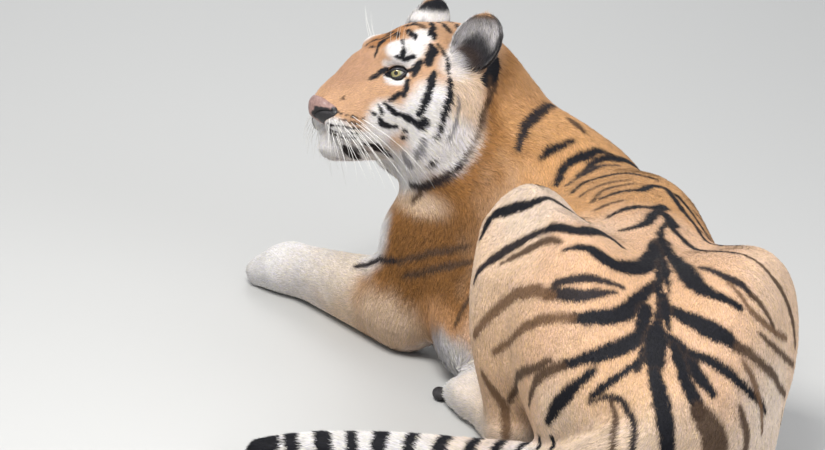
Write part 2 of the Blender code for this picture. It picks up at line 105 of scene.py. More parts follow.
class Tone(Enum):
    """Colours of the coat, as linear red, green and blue."""

    BLACK = (0.010, 0.010, 0.014)
    SOOT = (0.030, 0.023, 0.024)
    BROWN = (0.085, 0.048, 0.028)
    TAN = (0.175, 0.094, 0.048)
    GREY = (0.140, 0.135, 0.150)
    SILVER = (0.560, 0.530, 0.530)
    RUST = (0.450, 0.205, 0.078)
    # Deep amber, laid partly as painted shade on the lower neck and the shoulder.
    AMBER = (0.190, 0.084, 0.024)
    ORANGE = (0.370, 0.165, 0.046)
    GINGER = (0.560, 0.290, 0.130)
    BUFF = (0.500, 0.290, 0.180)
    HONEY = (0.660, 0.365, 0.160)
    FAWN = (0.600, 0.360, 0.210)
    HAUNCH = (0.740, 0.480, 0.310)
    CREAM = (0.780, 0.590, 0.430)
    PALE = (0.800, 0.700, 0.600)
    WHITE = (0.850, 0.815, 0.795)

    @property
    def rgb(self) -> Array:
        """The colour as an array."""
        return np.array(self.value)


def unit(vectors: Array) -> Array:
    """Vectors at length one, one or many."""
    v = np.asarray(vectors, float)
    return v / np.maximum(np.linalg.norm(v, axis=-1, keepdims=True), 1e-9)


def ramp(low: float, high: float, value: Array) -> Array:
    """Smooth step from 0 at low to 1 at high; low may be the greater."""
    t = np.clip((np.asarray(value, float) - low) / (high - low), 0, 1)
    return t * t * (3 - 2 * t)


def toned(colours: Array, target: Array, cover: Array) -> Array:
    """Colours, or other rows, drawn towards a target by the cover of each."""
    return colours + cover[:, None] * (target - colours)


def flat_part(vectors: Array, normals: Array) -> Array:
    """Vectors with their part along the normals taken out, at length one."""
    return unit(vectors - (vectors * normals).sum(-1, keepdims=True) * normals)


def smooth_line(points: Array, fine: int) -> Array:
    """A Catmull-Rom curve through the points, with `fine` steps between each two.

    Args:
        points: Points that it passes.
        fine: Steps between each two of them.

    Returns:
        The points of the curve.
    """
    points = np.asarray(points, float)
    ends = np.vstack([2 * points[0] - points[1], points, 2 * points[-1] - points[-2]])
    t = (np.arange(fine) / fine)[:, None]
    found = [
        (2 * b + (c - a) * t + (2 * a - 5 * b + 4 * c - d) * t**2 + (3 * b - a - 3 * c + d) * t**3) / 2
        for a, b, c, d in zip(ends[:-3], ends[1:-2], ends[2:-1], ends[3:])
    ]
    return np.vstack(found + [points[-1:]])


@dataclass(frozen=True)
class Ripple:
    """Smooth noise as a sum of waves in random directions.

    Attributes:
        length: Wavelength of the middle waves.
        seed: Seed of the directions.
        waves: How many waves it has.
    """

    length: float
    seed: int
    waves: int = 9

    def at(self, points: Array) -> Array:
        """Noise at points.

        Args:
            points: Places, one per row.

        Returns:
            One value per point, mostly between -1 and 1.
        """
        rng = np.random.default_rng(self.seed)
        ways = unit(rng.normal(size=(self.waves, 3)))
        steps = 2 * math.pi / (self.length * rng.uniform(0.6, 1.7, self.waves))
        shifts = rng.uniform(0, 2 * math.pi, self.waves)
        total = np.zeros(len(points))
        for way, step, shift in zip(ways, steps, shifts):
            total += np.sin(points @ way * step + shift)
        return total / math.sqrt(self.waves)


# ---------------------------------------------------------------- places on the animal


@dataclass
class HeadFrame:
    """The head's own frame: between the eyes, Y to the nose, Z up, X to the animal's right.

    Attributes:
        up: The head's up, in the model's frame.
        eye_ahead: How far the eyes' centres lie ahead of the frame's origin.
        turn: Its axes as columns.
        origin: Its origin.
        eyes: Centres of the eyes.
        eye_radius: Radius of an eyeball.
    """

    up: Triple = (0.032, 0.205, 0.978)
    eye_ahead: float = 0.006
    turn: Array = field(init=False)
    origin: Array = field(init=False)
    eyes: dict[Side, Array] = field(init=False)
    eye_radius: float = field(init=False)

    def __post_init__(self) -> None:
        """Reads the frame from the two eyes."""
        self.eyes = {side: node_centre(f"eye_{side.word}") for side in Side}
        low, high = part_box("eye_left")
        self.eye_radius = (high - low).x / 2
        right = unit(self.eyes[Side.RIGHT] - self.eyes[Side.LEFT])
        ahead = unit(np.cross(self.up, right))
        self.turn = np.stack([right, ahead, np.cross(right, ahead)], axis=1)
        middle = (self.eyes[Side.RIGHT] + self.eyes[Side.LEFT]) / 2
        self.origin = middle - self.eye_ahead * ahead

    def world(self, local: Array) -> Array:
        """Points of the head's frame in the model's."""
        return np.asarray(local, float) @ self.turn.T + self.origin

    def local(self, points: Array) -> Array:
        """Points of the model's frame in the head's."""
        return (np.asarray(points, float) - self.origin) @ self.turn

    def way(self, local: Array) -> Array:
        """Directions of the head's frame in the model's."""
        return np.asarray(local, float) @ self.turn.T


def node_centre(name: str) -> Array:
    """Middle of a CAD node's box."""
    low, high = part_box(name)
    return np.array((low + high) / 2)


@dataclass
class Places:
    """Directions and lines that the hair and the markings follow.

    Attributes:
        head: The head's frame.
        tail: The tail's middle line.
        ears: Each ear's middle and the way that its cup opens.
    """

    head: HeadFrame = field(default_factory=HeadFrame)
    tail: Array = field(init=False)
    ears: dict[str, tuple[Array, Array]] = field(init=False)

    def __post_init__(self) -> None:
        """Reads the places from the frame."""
        self.ears = {f"ear_{side.word}": self.ear_frame(side) for side in Side}
        self.tail = self.tail_line()

    def ear_frame(self, side: Side) -> tuple[Array, Array]:
        """Middle of an ear and the way its cup opens.

        Args:
            side: Which ear.

        Returns:
            Its centre, and the way that its cup faces.
        """
        turn = 1.0 if side is Side.LEFT else 1.4
        way = (math.sin(turn) * side.value, math.cos(turn), -0.05)
        return node_centre(f"ear_{side.word}"), unit(self.head.way(way))

    def tail_line(self) -> Array:
        """The tail's middle line from root to tip, from the boxes of its lengths.

        Returns:
            Points from the rump to the tip.
        """
        root, _, _, last = (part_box(f"tail_{k}") for k in (1, 2, 3, 4))
        thick = last[1].z / 2
        points = [
            (root[1].x - 0.06, root[0].y + 0.07, root[1].z - 0.07),
            (root[0].x + 0.05, root[0].y + 0.08, root[0].z + 0.075),
            tuple(node_centre("tail_2") + (0.02, -0.02, -0.02)),
            tuple(node_centre("tail_3")),
            tuple(node_centre("tail_4")),
            (last[0].x + 0.01, node_centre("tail_4")[1], thick),
        ]
        return smooth_line(np.array(points), 12)

    def along_tail(self, points: Array) -> tuple[Array, Array, Array]:
        """Where points lie along the tail.

        Args:
            points: Places near the tail.

        Returns:
            Distance from the root, the tail's direction there, and distance from its middle line.
        """
        steps = np.diff(self.tail, axis=0)
        gone = np.concatenate([[0], np.cumsum(np.linalg.norm(steps, axis=1))])
        best = np.full(len(points), np.inf)
        place = np.zeros(len(points))
        way = np.zeros((len(points), 3))
        for start, step, before in zip(self.tail, steps, gone):
            share = np.clip((points - start) @ step / (step @ step), 0, 1)
            off = np.linalg.norm(points - start - share[:, None] * step, axis=1)
            near = off < best
            best = np.where(near, off, best)
            place = np.where(near, before + share * np.linalg.norm(step), place)
            way[near] = unit(step)
        return place, way, best


# ---------------------------------------------------------------- markings


@dataclass(frozen=True)
class Stripe:
    """One dark mark: a curve on the skin that swells and tapers.

    Attributes:
        tone: Its colour.
        widths: Width in mm at its start, middle and end.
        points: Places that it passes, in cm on the body or mm on the head.
    """

    tone: Tone
    widths: Triple
    points: tuple[Triple, ...]

    def line(self) -> tuple[Array, Array]:
        """The curve in the stripe's own units and its half widths in metres.

        Returns:
            The points of the curve, and half its width at each.
        """
        line = smooth_line(np.array(self.points), 8)
        t = np.linspace(0, 1, len(line))
        start, middle, end = self.widths
        width = np.interp(t, (0, 0.5, 1), (start, middle, end)) + 0.2 * middle * np.sin(math.pi * t)
        return line, width * MM / 2


@dataclass(frozen=True)
class Group:
    """Stripes that are drawn alike.

    Attributes:
        stripes: The stripes.
        bold: Factor on their widths.
        soft: Half width of their soft edges in metres.
        halo: How strongly the hair round them turns brown.
    """

    stripes: tuple[Stripe, ...]
    bold: float = 1.0
    soft: float = 0.0016
    halo: float = 0.0


@dataclass(frozen=True)
class Mark:
    """A stripe or a spot as it lies on the skin.

    Attributes:
        spots: Places on the skin along its line.
        normals: The skin's normals there.
        width: Half its width there.
        tone: Its colour.
        soft: Half width of its soft edge.
        halo: How strongly the hair round it turns brown.
    """

    spots: Array
    normals: Array
    width: Array
    tone: Tone
    soft: float
    halo: float

    def depth(self, points: Array) -> Array:
        """How deep points lie inside the mark's edge in metres, less than 0 outside it.

        Args:
            points: Places on the skin.

        Returns:
            One depth per point.
        """
        best = np.full(len(points), -1.0)
        for k in range(len(self.spots) - 1):
            step = self.spots[k + 1] - self.spots[k]
            share = np.clip((points - self.spots[k]) @ step / max(step @ step, 1e-12), 0, 1)
            off = points - self.spots[k] - share[:, None] * step
            rise = off @ self.normals[k]
            flat = np.sqrt(np.maximum((off * off).sum(1) - 0.85 * rise * rise, 0))
            half = self.width[k] + share * (self.width[k + 1] - self.width[k])
            best = np.maximum(best, half - flat)
        return best


@dataclass(frozen=True)
class Pelt:
    """One kind of coat.

    Attributes:
        tone: Ground colour.
        length: Length of its tufts in mm.
        width: Width of a tuft at its root in mm.
        lift: Angle off the skin in degrees.
        gap: Distance between tufts in mm.
    """

    tone: Tone
    length: float
    width: float
    lift: float
    gap: float

    def row(self) -> list[float]:
        """The values as one row: colour, length, width, rise and gap, in metres."""
        rise = math.sin(math.radians(self.lift))
        return [*self.tone.value, self.length * MM, self.width * MM, rise, self.gap * MM]


@dataclass(frozen=True)
class Field:
    """An oval field on the body or head where the coat differs, with a soft edge.

    Attributes:
        centre: Middle, in mm in the head's frame or in cm on the body.
        radii: Half sizes in the same units.
        tone: Its colour, or None to keep what is there.
        pelt: Its kind of coat, or None to keep what is there.
        soft: Share of the radii over which the edge fades.
        strength: How fully it covers.
        pair: Whether the other side has one too.
    """

    centre: Triple
    radii: Triple
    tone: Tone | None = None
    pelt: Pelt | None = None
    soft: float = 0.5
    strength: float = 1.0
    pair: bool = False

    def cover(self, points: Array, rough: Array) -> Array:
        """Cover of the field.

        Args:
            points: Places in the field's units.
            rough: Noise for its edge.

        Returns:
            Cover from 0 to the field's strength.
        """
        places = points * (-1, 1, 1) if self.pair else points
        best = np.full(len(points), np.inf)
        for place in (points, places):
            reach = np.linalg.norm((place - np.array(self.centre)) / np.array(self.radii), axis=1)
            best = np.minimum(best, reach)
        return self.strength * ramp(1 + self.soft / 2, 1 - self.soft / 2, best + 0.07 * rough)


MUZZLE_FUR = Pelt(Tone.FAWN, 4.5, 0.9, 12, 1.6)
FACE_FUR = Pelt(Tone.FAWN, 6.5, 1.0, 13, 1.9)
CHEEK_FUR = Pelt(Tone.WHITE, 11, 1.1, 15, 2.0)
RUFF_FUR = Pelt(Tone.WHITE, 18, 1.2, 15, 2.4)
CHIN_FUR = Pelt(Tone.WHITE, 8, 1.0, 18, 1.9)
THROAT_FUR = Pelt(Tone.WHITE, 16, 1.4, 16, 2.8)
UNDER_FUR = Pelt(Tone.WHITE, 18, 1.8, 16, 3.6)
LIP_FUR = Pelt(Tone.SOOT, 3.5, 0.9, 10, 2.0)

PELTS = {
    "head": Pelt(Tone.FAWN, 9, 1.1, 14, 2.0),
    "ear": Pelt(Tone.BLACK, 5, 0.9, 12, 1.6),
    "neck": Pelt(Tone.ORANGE, 14, 1.7, 14, 3.0),
    "chest": Pelt(Tone.ORANGE, 13, 1.9, 13, 3.2),
    "belly": Pelt(Tone.ORANGE, 12, 1.9, 12, 3.2),
    "rump": Pelt(Tone.HAUNCH, 10, 1.9, 12, 2.8),
    "thigh": Pelt(Tone.HAUNCH, 10, 1.9, 12, 2.8),
    "upper_arm": Pelt(Tone.ORANGE, 12, 1.9, 13, 3.2),
    "forearm": Pelt(Tone.CREAM, 9, 1.7, 12, 2.8),
    "forepaw": Pelt(Tone.WHITE, 6.5, 1.4, 12, 2.4),
    "hind_foot": Pelt(Tone.PALE, 7.5, 1.4, 12, 2.5),
    "tail": Pelt(Tone.WHITE, 13, 1.5, 15, 2.6),
}

HEAD_FIELDS = (
    Field((0, 60, -70), (60, 75, 60), None, MUZZLE_FUR),
    Field((0, 10, 40), (75, 60, 60), None, FACE_FUR),
    Field((0, 30, 62), (34, 60, 34), Tone.RUST, soft=0.6),
    Field((0, 76, -10), (44, 70, 50), Tone.BUFF, soft=0.7, strength=0.85),
    Field((82, -10, -8), (26, 46, 30), Tone.FAWN, FACE_FUR, pair=True),
    Field((104, -45, -66), (44, 62, 62), Tone.WHITE, CHEEK_FUR, soft=0.4, pair=True),
    Field((74, 34, -84), (32, 38, 34), Tone.WHITE, soft=0.5, pair=True),
    Field((112, -100, -60), (42, 40, 84), Tone.CREAM, RUFF_FUR, soft=0.5, pair=True),
    Field((104, -66, -112), (44, 60, 62), Tone.WHITE, RUFF_FUR, soft=0.5, pair=True),
    Field((60, 4, 46), (26, 36, 26), Tone.WHITE, soft=0.35, pair=True),
    Field((46, -30, 66), (20, 22, 20), Tone.WHITE, soft=0.4, pair=True),
    Field((64, 20, -14), (24, 22, 8), Tone.WHITE, soft=0.3, pair=True),
    Field((64, 8, 20), (18, 24, 9), Tone.WHITE, soft=0.4, strength=0.8, pair=True),
    Field((56, 44, 14), (13, 17, 9), Tone.WHITE, soft=0.4, strength=0.8, pair=True),
    Field((90, -78, 20), (26, 26, 34), Tone.WHITE, soft=0.5, strength=0.75, pair=True),
    Field((36, 108, -112), (36, 44, 22), Tone.WHITE, soft=0.4, pair=True),
    Field((0, 84, -150), (62, 66, 38), Tone.WHITE, CHIN_FUR, soft=0.4),
    Field((0, -30, -160), (110, 80, 54), Tone.WHITE, THROAT_FUR, soft=0.5),
    Field((66, 60, -124), (20, 42, 16), Tone.WHITE, soft=0.5, pair=True),
    Field((42, 72, -146), (20, 26, 9), Tone.SOOT, LIP_FUR, soft=0.8, strength=0.85, pair=True),
)

EAR_FIELDS = (
    Field((88, -112, 40), (28, 26, 34), Tone.SOOT, soft=0.5, strength=0.96, pair=True),
    Field((90, -84, 34), (12, 14, 26), Tone.SILVER, CHEEK_FUR, soft=0.8, strength=0.8, pair=True),
)

BODY_FIELDS = (
    # Deep amber on the lower neck: partly the coat's own colour, partly painted shade under the head.
    Field((-24, 6, 33), (12, 12, 11), Tone.AMBER, soft=0.9, strength=0.50),
    Field((-15, 13, 46), (8, 13, 6), Tone.HONEY, soft=1.0, strength=0.95),
    # Deep amber on the shoulder and the back of the elbow: partly own colour, partly painted shade behind
    # the elbow.
    Field((-31, -8, 19), (12, 14, 13), Tone.AMBER, soft=0.9, strength=0.82),
    Field((-8, 14, 40), (14, 14, 16), Tone.GINGER, soft=0.9, strength=0.70),
    Field((10, -24, 40), (24, 16, 16), Tone.GINGER, soft=0.9, strength=0.85),
    Field((0, -9, 41), (19, 27, 10), Tone.HONEY, soft=0.9, strength=0.90),
    Field((7, -40, 40), (26, 14, 12), Tone.HAUNCH, soft=0.8, strength=0.90),
    Field((-40, -5, 6), (9, 9, 6), Tone.CREAM, soft=0.9, strength=0.75),
    Field((-20, 38, 14), (26, 12, 18), Tone.WHITE, THROAT_FUR, soft=0.8),
    Field((-44, 5, 20), (5, 8, 7), Tone.WHITE, THROAT_FUR, soft=0.6),
    Field((-50, 10, 11), (9, 8, 6), Tone.PALE, soft=0.9, strength=0.8),
    Field((-36, 30, 12), (16, 10, 13), Tone.WHITE, UNDER_FUR, soft=0.6),
    Field((-36, 4, 29), (7, 12, 2.6), Tone.CREAM, soft=0.9, strength=0.75),
    Field((-2, -12, 0), (32, 56, 6), Tone.WHITE, UNDER_FUR, soft=0.7),
    Field((-28, -17, 11), (9, 8, 4.5), Tone.GINGER, soft=0.7, strength=0.9),
    Field((-27, -21, 4.5), (9, 8, 6.5), Tone.WHITE, UNDER_FUR, soft=0.5),
    # Painted shade: a grey patch on the left edge of the white belly hair.
    Field((-30, -17, 6), (4, 5, 5), Tone.GREY, soft=0.9, strength=0.6),
    Field((-60, 24, 5), (14, 16, 12), Tone.WHITE, soft=0.9, strength=0.8),
    Field((-27, -29, 4), (9, 12, 7), Tone.WHITE, soft=0.9, strength=0.6),
    Field((-20, -35, 34), (10, 26, 16), Tone.CREAM, soft=0.9, strength=0.55),
    Field((-15, -37, 44), (15, 12, 7), Tone.PALE, soft=0.9, strength=0.50),
    Field((-22, -50, 18), (10, 22, 20), Tone.CREAM, soft=0.9, strength=0.55),
    Field((28, -48, 26), (8, 28, 26), Tone.CREAM, soft=0.9, strength=0.50),
    Field((26, -66, 14), (10, 20, 14), Tone.PALE, soft=0.9, strength=0.60),
    Field((-19, -56, 21), (10, 14, 15), Tone.HONEY, soft=1.0, strength=0.35),
    Field((4, -62, 39), (13, 15, 7), Tone.HONEY, soft=1.0, strength=0.30),
    Field((10, -86, 12), (30, 10, 14), Tone.CREAM, soft=0.9, strength=0.60),
    Field((-4, -82, 18), (18, 12, 14), Tone.CREAM, soft=0.9, strength=0.90),
    Field((0, -78, 28), (10, 7, 7), Tone.HONEY, soft=1.0, strength=0.50),
)

LEFT_HAUNCH = (
    Stripe(Tone.BLACK, (6, 14, 7), (
        (-24, -35, 35), (-22, -32, 38), (-19, -35, 41), (-16, -38, 43), (-11, -40, 44),
    )),
    Stripe(Tone.BLACK, (7, 8, 4), ((-11, -40, 44), (-8, -42, 43), (-6, -44, 43))),
    Stripe(Tone.SOOT, (5, 13, 6), ((-25, -43, 30), (-23, -44, 35), (-17, -46, 39), (-13, -49, 43))),
    Stripe(Tone.BLACK, (11, 13, 6), ((-13, -49, 43), (-8, -52, 44), (-3, -48, 42), (0, -50, 41))),
    Stripe(Tone.BROWN, (4, 9, 5), ((-20, -47, 35), (-17, -49, 38), (-13, -52, 42), (-11, -55, 43))),
    Stripe(Tone.BLACK, (4, 17, 22), (
        (-10, -57, 42), (-6, -57, 43), (-1, -59, 41), (4, -54, 40), (7, -43, 40),
    )),
    Stripe(Tone.SOOT, (9, 10, 4), ((-11, -63, 38), (-6, -64, 40), (0, -64, 39))),
    Stripe(Tone.SOOT, (13, 13, 4), ((-12, -64, 37), (-7, -67, 38), (-1, -66, 39))),
    Stripe(Tone.TAN, (11, 11, 9), ((-12, -65, 37), (-15, -61, 36), (-19, -54, 31), (-24, -48, 22))),
    Stripe(Tone.BLACK, (9, 17, 9), (
        (6, -59, 39), (3, -65, 38), (0, -69, 36), (-5, -71, 36), (-8, -70, 35),
    )),
    Stripe(Tone.TAN, (8, 8, 6), ((-8, -70, 35), (-12, -68, 34), (-16, -62, 29), (-20, -53, 21))),
    Stripe(Tone.BLACK, (13, 15, 8), ((4, -67, 37), (3, -73, 34), (-3, -75, 31), (-9, -74, 28))),
    Stripe(Tone.BROWN, (9, 9, 6), ((-9, -74, 28), (-13, -71, 24), (-14, -68, 18))),
    Stripe(Tone.BROWN, (6, 8, 6), ((-11, -72, 28), (-14, -69, 25), (-16, -61, 20), (-17, -55, 13))),
    Stripe(Tone.BLACK, (6, 13, 9), ((-4, -77, 29), (-9, -77, 23), (-11, -75, 18))),
    Stripe(Tone.TAN, (8, 9, 8), ((-22, -51, 16), (-18, -54, 12), (-17, -56, 7))),
)

SPINE = (
    Stripe(Tone.BLACK, (7, 11, 13), ((0, -38, 40), (4, -36, 41), (6, -30, 41), (8, -24, 40))),
    Stripe(Tone.BLACK, (12, 16, 12), ((8, -28, 40), (9, -32, 40), (9, -35, 40))),
    Stripe(Tone.BLACK, (5, 7, 11), ((8, -34, 41), (7, -39, 41), (7, -43, 40))),
    Stripe(Tone.BLACK, (11, 15, 8), ((7, -50, 40), (7, -55, 39), (6, -60, 39))),
    Stripe(Tone.BLACK, (7, 7, 4), ((7, -51, 40), (8, -62, 38))),
    Stripe(Tone.BLACK, (8, 15, 9), ((6, -60, 39), (7, -66, 37), (6, -70, 36))),
    Stripe(Tone.BLACK, (9, 9, 4), ((7, -65, 38), (8, -71, 35))),
    Stripe(Tone.BLACK, (15, 11, 7), ((6, -70, 35), (4, -76, 32), (3, -78, 30))),
    Stripe(Tone.BLACK, (8, 8, 6), ((3, -77, 31), (-2, -79, 27), (-4, -79, 25))),
    Stripe(Tone.BLACK, (11, 22, 15), ((6, -70, 36), (6, -74, 33), (6, -79, 30))),
    Stripe(Tone.BLACK, (15, 18, 18), ((6, -79, 30), (8, -84, 25), (9, -85, 19))),
    Stripe(Tone.SOOT, (4, 6, 7), ((-4, -79, 24), (0, -81, 26), (3, -84, 23), (3, -88, 19))),
    Stripe(Tone.BROWN, (4, 6, 6), ((-1, -81, 25), (0, -83, 23), (0, -87, 19))),
)

RIGHT_HAUNCH = (
    Stripe(Tone.BLACK, (9, 7, 4), ((9, -35, 40), (12, -40, 39), (16, -46, 40), (21, -47, 41))),
    Stripe(Tone.BROWN, (6, 9, 6), ((21, -47, 41), (26, -49, 38), (30, -48, 32), (30, -45, 24))),
    Stripe(Tone.BLACK, (9, 17, 8), ((7, -42, 40), (10, -53, 40), (13, -62, 40), (20, -65, 38))),
    Stripe(Tone.SOOT, (5, 10, 8), ((13, -55, 41), (17, -58, 41), (20, -59, 39), (22, -60, 38))),
    Stripe(Tone.BROWN, (8, 7, 6), ((22, -60, 38), (25, -60, 35), (27, -60, 32))),
    Stripe(Tone.TAN, (4, 7, 5), ((18, -60, 40), (23, -64, 37), (27, -60, 32), (29, -52, 28))),
    Stripe(Tone.BLACK, (8, 18, 11), ((7, -66, 37), (12, -69, 36), (17, -71, 35), (20, -71, 33))),
    Stripe(Tone.BROWN, (11, 8, 7), ((20, -71, 33), (25, -68, 29), (28, -60, 23), (29, -50, 17))),
    Stripe(Tone.BROWN, (4, 6, 5), ((24, -66, 34), (27, -62, 30), (31, -46, 21))),
    Stripe(Tone.BLACK, (8, 15, 8), ((7, -72, 35), (10, -74, 33), (13, -77, 30), (16, -78, 27))),
    Stripe(Tone.BLACK, (9, 9, 6), ((12, -74, 32), (17, -75, 31), (22, -74, 27), (26, -67, 20))),
    Stripe(Tone.BLACK, (9, 11, 17), ((9, -74, 33), (11, -78, 29), (14, -81, 25))),
    Stripe(Tone.BROWN, (17, 24, 28), ((14, -81, 25), (17, -80, 20), (18, -79, 15))),
    Stripe(Tone.TAN, (4, 7, 7), ((21, -72, 31), (24, -71, 25), (26, -68, 17))),
    Stripe(Tone.BROWN, (7, 9, 9), ((21, -76, 24), (23, -74, 16), (22, -72, 8))),
)

NECK_AND_BACK = (
    Stripe(Tone.SOOT, (5, 9, 4), ((-12, 18, 43), (-14, 12, 44), (-17, 4, 43), (-18, -1, 40))),
    Stripe(Tone.BROWN, (6, 7, 5), ((-9, 13, 42), (-6, 9, 42))),
    Stripe(Tone.BLACK, (3, 7, 4), ((-14, -2, 39), (-12, 1, 40), (-8, 5, 41))),
    Stripe(Tone.BLACK, (5, 9, 4), ((-11, -8, 37), (-9, -1, 38), (-6, 2, 39), (-3, 5, 39), (0, 6, 38))),
    Stripe(Tone.BLACK, (3, 6, 11), ((-7, -5, 37), (-5, -1, 38), (-3, 3, 38), (1, 6, 38), (4, 11, 35))),
    Stripe(Tone.SOOT, (2, 4, 2), ((-9, -9, 37), (-6, -4, 38), (-3, 0, 38), (1, 3, 38))),
    Stripe(Tone.BLACK, (3, 4, 4), (
        (-8, -14, 37), (-6, -9, 38), (-2, -6, 38), (1, -5, 39), (4, -6, 39), (7, -7, 39),
    )),
    Stripe(Tone.BLACK, (3, 6, 7), ((-3, -21, 39), (1, -17, 40), (4, -16, 40), (6, -12, 39), (8, -11, 39))),
    Stripe(Tone.BROWN, (2, 3, 2), ((-7, -17, 38), (-3, -12, 39), (2, -10, 39))),
    Stripe(Tone.BROWN, (2, 3, 2), ((-5, -22, 39), (-2, -15, 39), (3, -12, 39))),
    Stripe(Tone.BROWN, (3, 3, 2), ((-4, -26, 39), (-1, -24, 40), (1, -23, 40))),
    Stripe(Tone.BLACK, (4, 7, 8), ((-2, -31, 39), (0, -29, 40), (3, -27, 40), (6, -26, 40), (8, -23, 40))),
    Stripe(Tone.BLACK, (7, 7, 4), (
        (9, -11, 39), (11, -18, 38), (12, -21, 38), (14, -25, 37), (16, -32, 37),
    )),
    Stripe(Tone.BLACK, (6, 5, 3), ((11, -12, 38), (14, -18, 36), (17, -26, 35), (18, -33, 36))),
    Stripe(Tone.BROWN, (4, 6, 3), ((-38, -2, 29), (-33, -4, 33), (-28, -4, 37))),
    Stripe(Tone.SOOT, (6, 5, 4), ((-46, 4, 14), (-43, 1, 16), (-38, -5, 18))),
    Stripe(Tone.BROWN, (4, 5, 3), ((-38, -5, 18), (-30, -8, 22), (-25, -10, 24))),
    Stripe(Tone.BROWN, (4, 6, 4), ((-37, -7, 16), (-28, -10, 20), (-25, -13, 22))),
    Stripe(Tone.SOOT, (3, 8, 4), ((-6, 22, 43), (-1, 25, 36), (-1, 27, 27))),
    Stripe(Tone.SOOT, (3, 7, 4), ((-11, 30, 41), (-7, 34, 34), (-8, 36, 26))),
    Stripe(Tone.SOOT, (3, 8, 4), ((1, 15, 40), (9, 17, 34), (13, 18, 25))),
    Stripe(Tone.GREY, (4, 8, 4), ((-38, 22, 24), (-32, 32, 22), (-24, 38, 22))),
    Stripe(Tone.GREY, (4, 7, 4), ((-34, 28, 14), (-26, 36, 14), (-18, 40, 15))),
)

FACE = (
    Stripe(Tone.BLACK, (5, 6, 9), ((-39, 3, 59), (-62, 8, 47), (-71, 9, 28), (-69, -11, 33))),
    Stripe(Tone.BLACK, (2, 4, 4), ((-65, 27, 30), (-70, 11, 28))),
    Stripe(Tone.BLACK, (8, 11, 8), ((-20, -15, 73), (-33, -18, 70), (-47, -21, 63))),
    Stripe(Tone.BLACK, (6, 8, 7), ((-6, -2, 66), (-24, 4, 60))),
    Stripe(Tone.BROWN, (8, 9, 8), ((-28, -45, 80), (-10, -42, 84))),
    Stripe(Tone.BLACK, (9, 10, 8), ((-4, -70, 87), (-32, -58, 80), (-46, -48, 72))),
    Stripe(Tone.BLACK, (8, 8, 8), ((-44, -59, 74), (-55, -53, 66))),
    Stripe(Tone.BLACK, (6, 8, 7), ((-2, -91, 89), (-28, -90, 83), (-38, -91, 79))),
    Stripe(Tone.BLACK, (6, 6, 6), ((-5, -117, 91), (-30, -113, 85))),
    Stripe(Tone.BLACK, (4, 6, 5), ((-6, 5, 62), (-8, 24, 46), (-21, 37, 30))),
    Stripe(Tone.BLACK, (3, 4, 3), ((-14, 22, 48), (-19, 30, 38), (-26, 44, 17))),
    Stripe(Tone.BLACK, (3, 4, 3), ((-12, 38, 30), (-3, 43, 26))),
    Stripe(Tone.BROWN, (3, 4, 3), ((-12, -1, 64), (-16, 10, 56))),
    Stripe(Tone.BLACK, (4, 6, 4), ((-3, -19, 77), (-5, -43, 85))),
    Stripe(Tone.BLACK, (9, 15, 17), ((-64, -44, 56), (-72, -48, 48), (-77, -40, 38), (-81, -36, 27))),
    Stripe(Tone.BLACK, (6, 7, 10), ((-67, 5, 6), (-73, -4, 9), (-75, -14, 15))),
    Stripe(Tone.BLACK, (9, 12, 6), ((-74, -23, 27), (-76, -16, 16), (-81, -9, 0))),
    Stripe(Tone.BLACK, (4, 6, 6), ((-64, -58, 59), (-88, -68, 37), (-107, -66, 12))),
    Stripe(Tone.BLACK, (6, 12, 6), (
        (-107, -66, 12), (-121, -68, -22), (-125, -61, -58), (-122, -51, -107),
    )),
    Stripe(Tone.BLACK, (13, 12, 6), ((-97, -41, 9), (-109, -31, -22), (-110, -21, -54), (-106, -16, -71))),
    Stripe(Tone.BLACK, (8, 10, 9), ((-82, 1, -10), (-86, 5, -24), (-88, 9, -35))),
    Stripe(Tone.BLACK, (7, 8, 6), ((-84, 16, -33), (-83, 22, -40), (-81, 30, -47))),
    Stripe(Tone.BLACK, (6, 9, 12), ((-77, 40, -53), (-82, 18, -71), (-91, 3, -75), (-108, -20, -85))),
    Stripe(Tone.BLACK, (13, 17, 11), ((-106, -17, -86), (-115, -30, -80))),
    Stripe(Tone.BLACK, (4, 6, 5), ((-74, 50, -58), (-77, 41, -75))),
    Stripe(Tone.BLACK, (2, 4, 4), ((-71, 63, -70), (-74, 53, -77))),
    Stripe(Tone.BLACK, (6, 10, 8), ((-76, 47, -82), (-76, 36, -94), (-77, 12, -96))),
    Stripe(Tone.BLACK, (4, 6, 4), ((-85, 1, -101), (-91, -4, -102))),
    Stripe(Tone.BLACK, (8, 8, 6), ((-84, -1, -116), (-92, -7, -112))),
    Stripe(Tone.GREY, (4, 6, 4), ((-124, -85, -24), (-129, -82, -78), (-124, -70, -113))),
    Stripe(Tone.GREY, (8, 13, 8), ((-112, -32, -113), (-107, -29, -133), (-99, -27, -152))),
    Stripe(Tone.GREY, (6, 12, 6), ((-78, -6, -144), (-86, -25, -169))),
    Stripe(Tone.SOOT, (4, 6, 4), ((-117, -64, -144), (-102, -46, -167))),
    Stripe(Tone.BLACK, (8, 9, 5), ((-47, 59, -15), (-49, 38, 1), (-50, 27, 4))),
    Stripe(Tone.BLACK, (22, 30, 22), ((-72, -176, 40), (-91, -164, 16), (-107, -144, 3))),
    Stripe(Tone.BROWN, (11, 9, 6), ((-94, -172, -7), (-122, -140, -49), (-126, -132, -69))),
    Stripe(Tone.SOOT, (11, 16, 11), ((-37, 94, -142), (-34, 75, -156), (-24, 53, -168))),
    Stripe(Tone.SOOT, (8, 11, 8), ((-64, 63, -132), (-61, 35, -142), (-42, 1, -158))),
    Stripe(Tone.BROWN, (2, 4, 3), ((-36, 108, -58), (-37, 102, -51))),
)

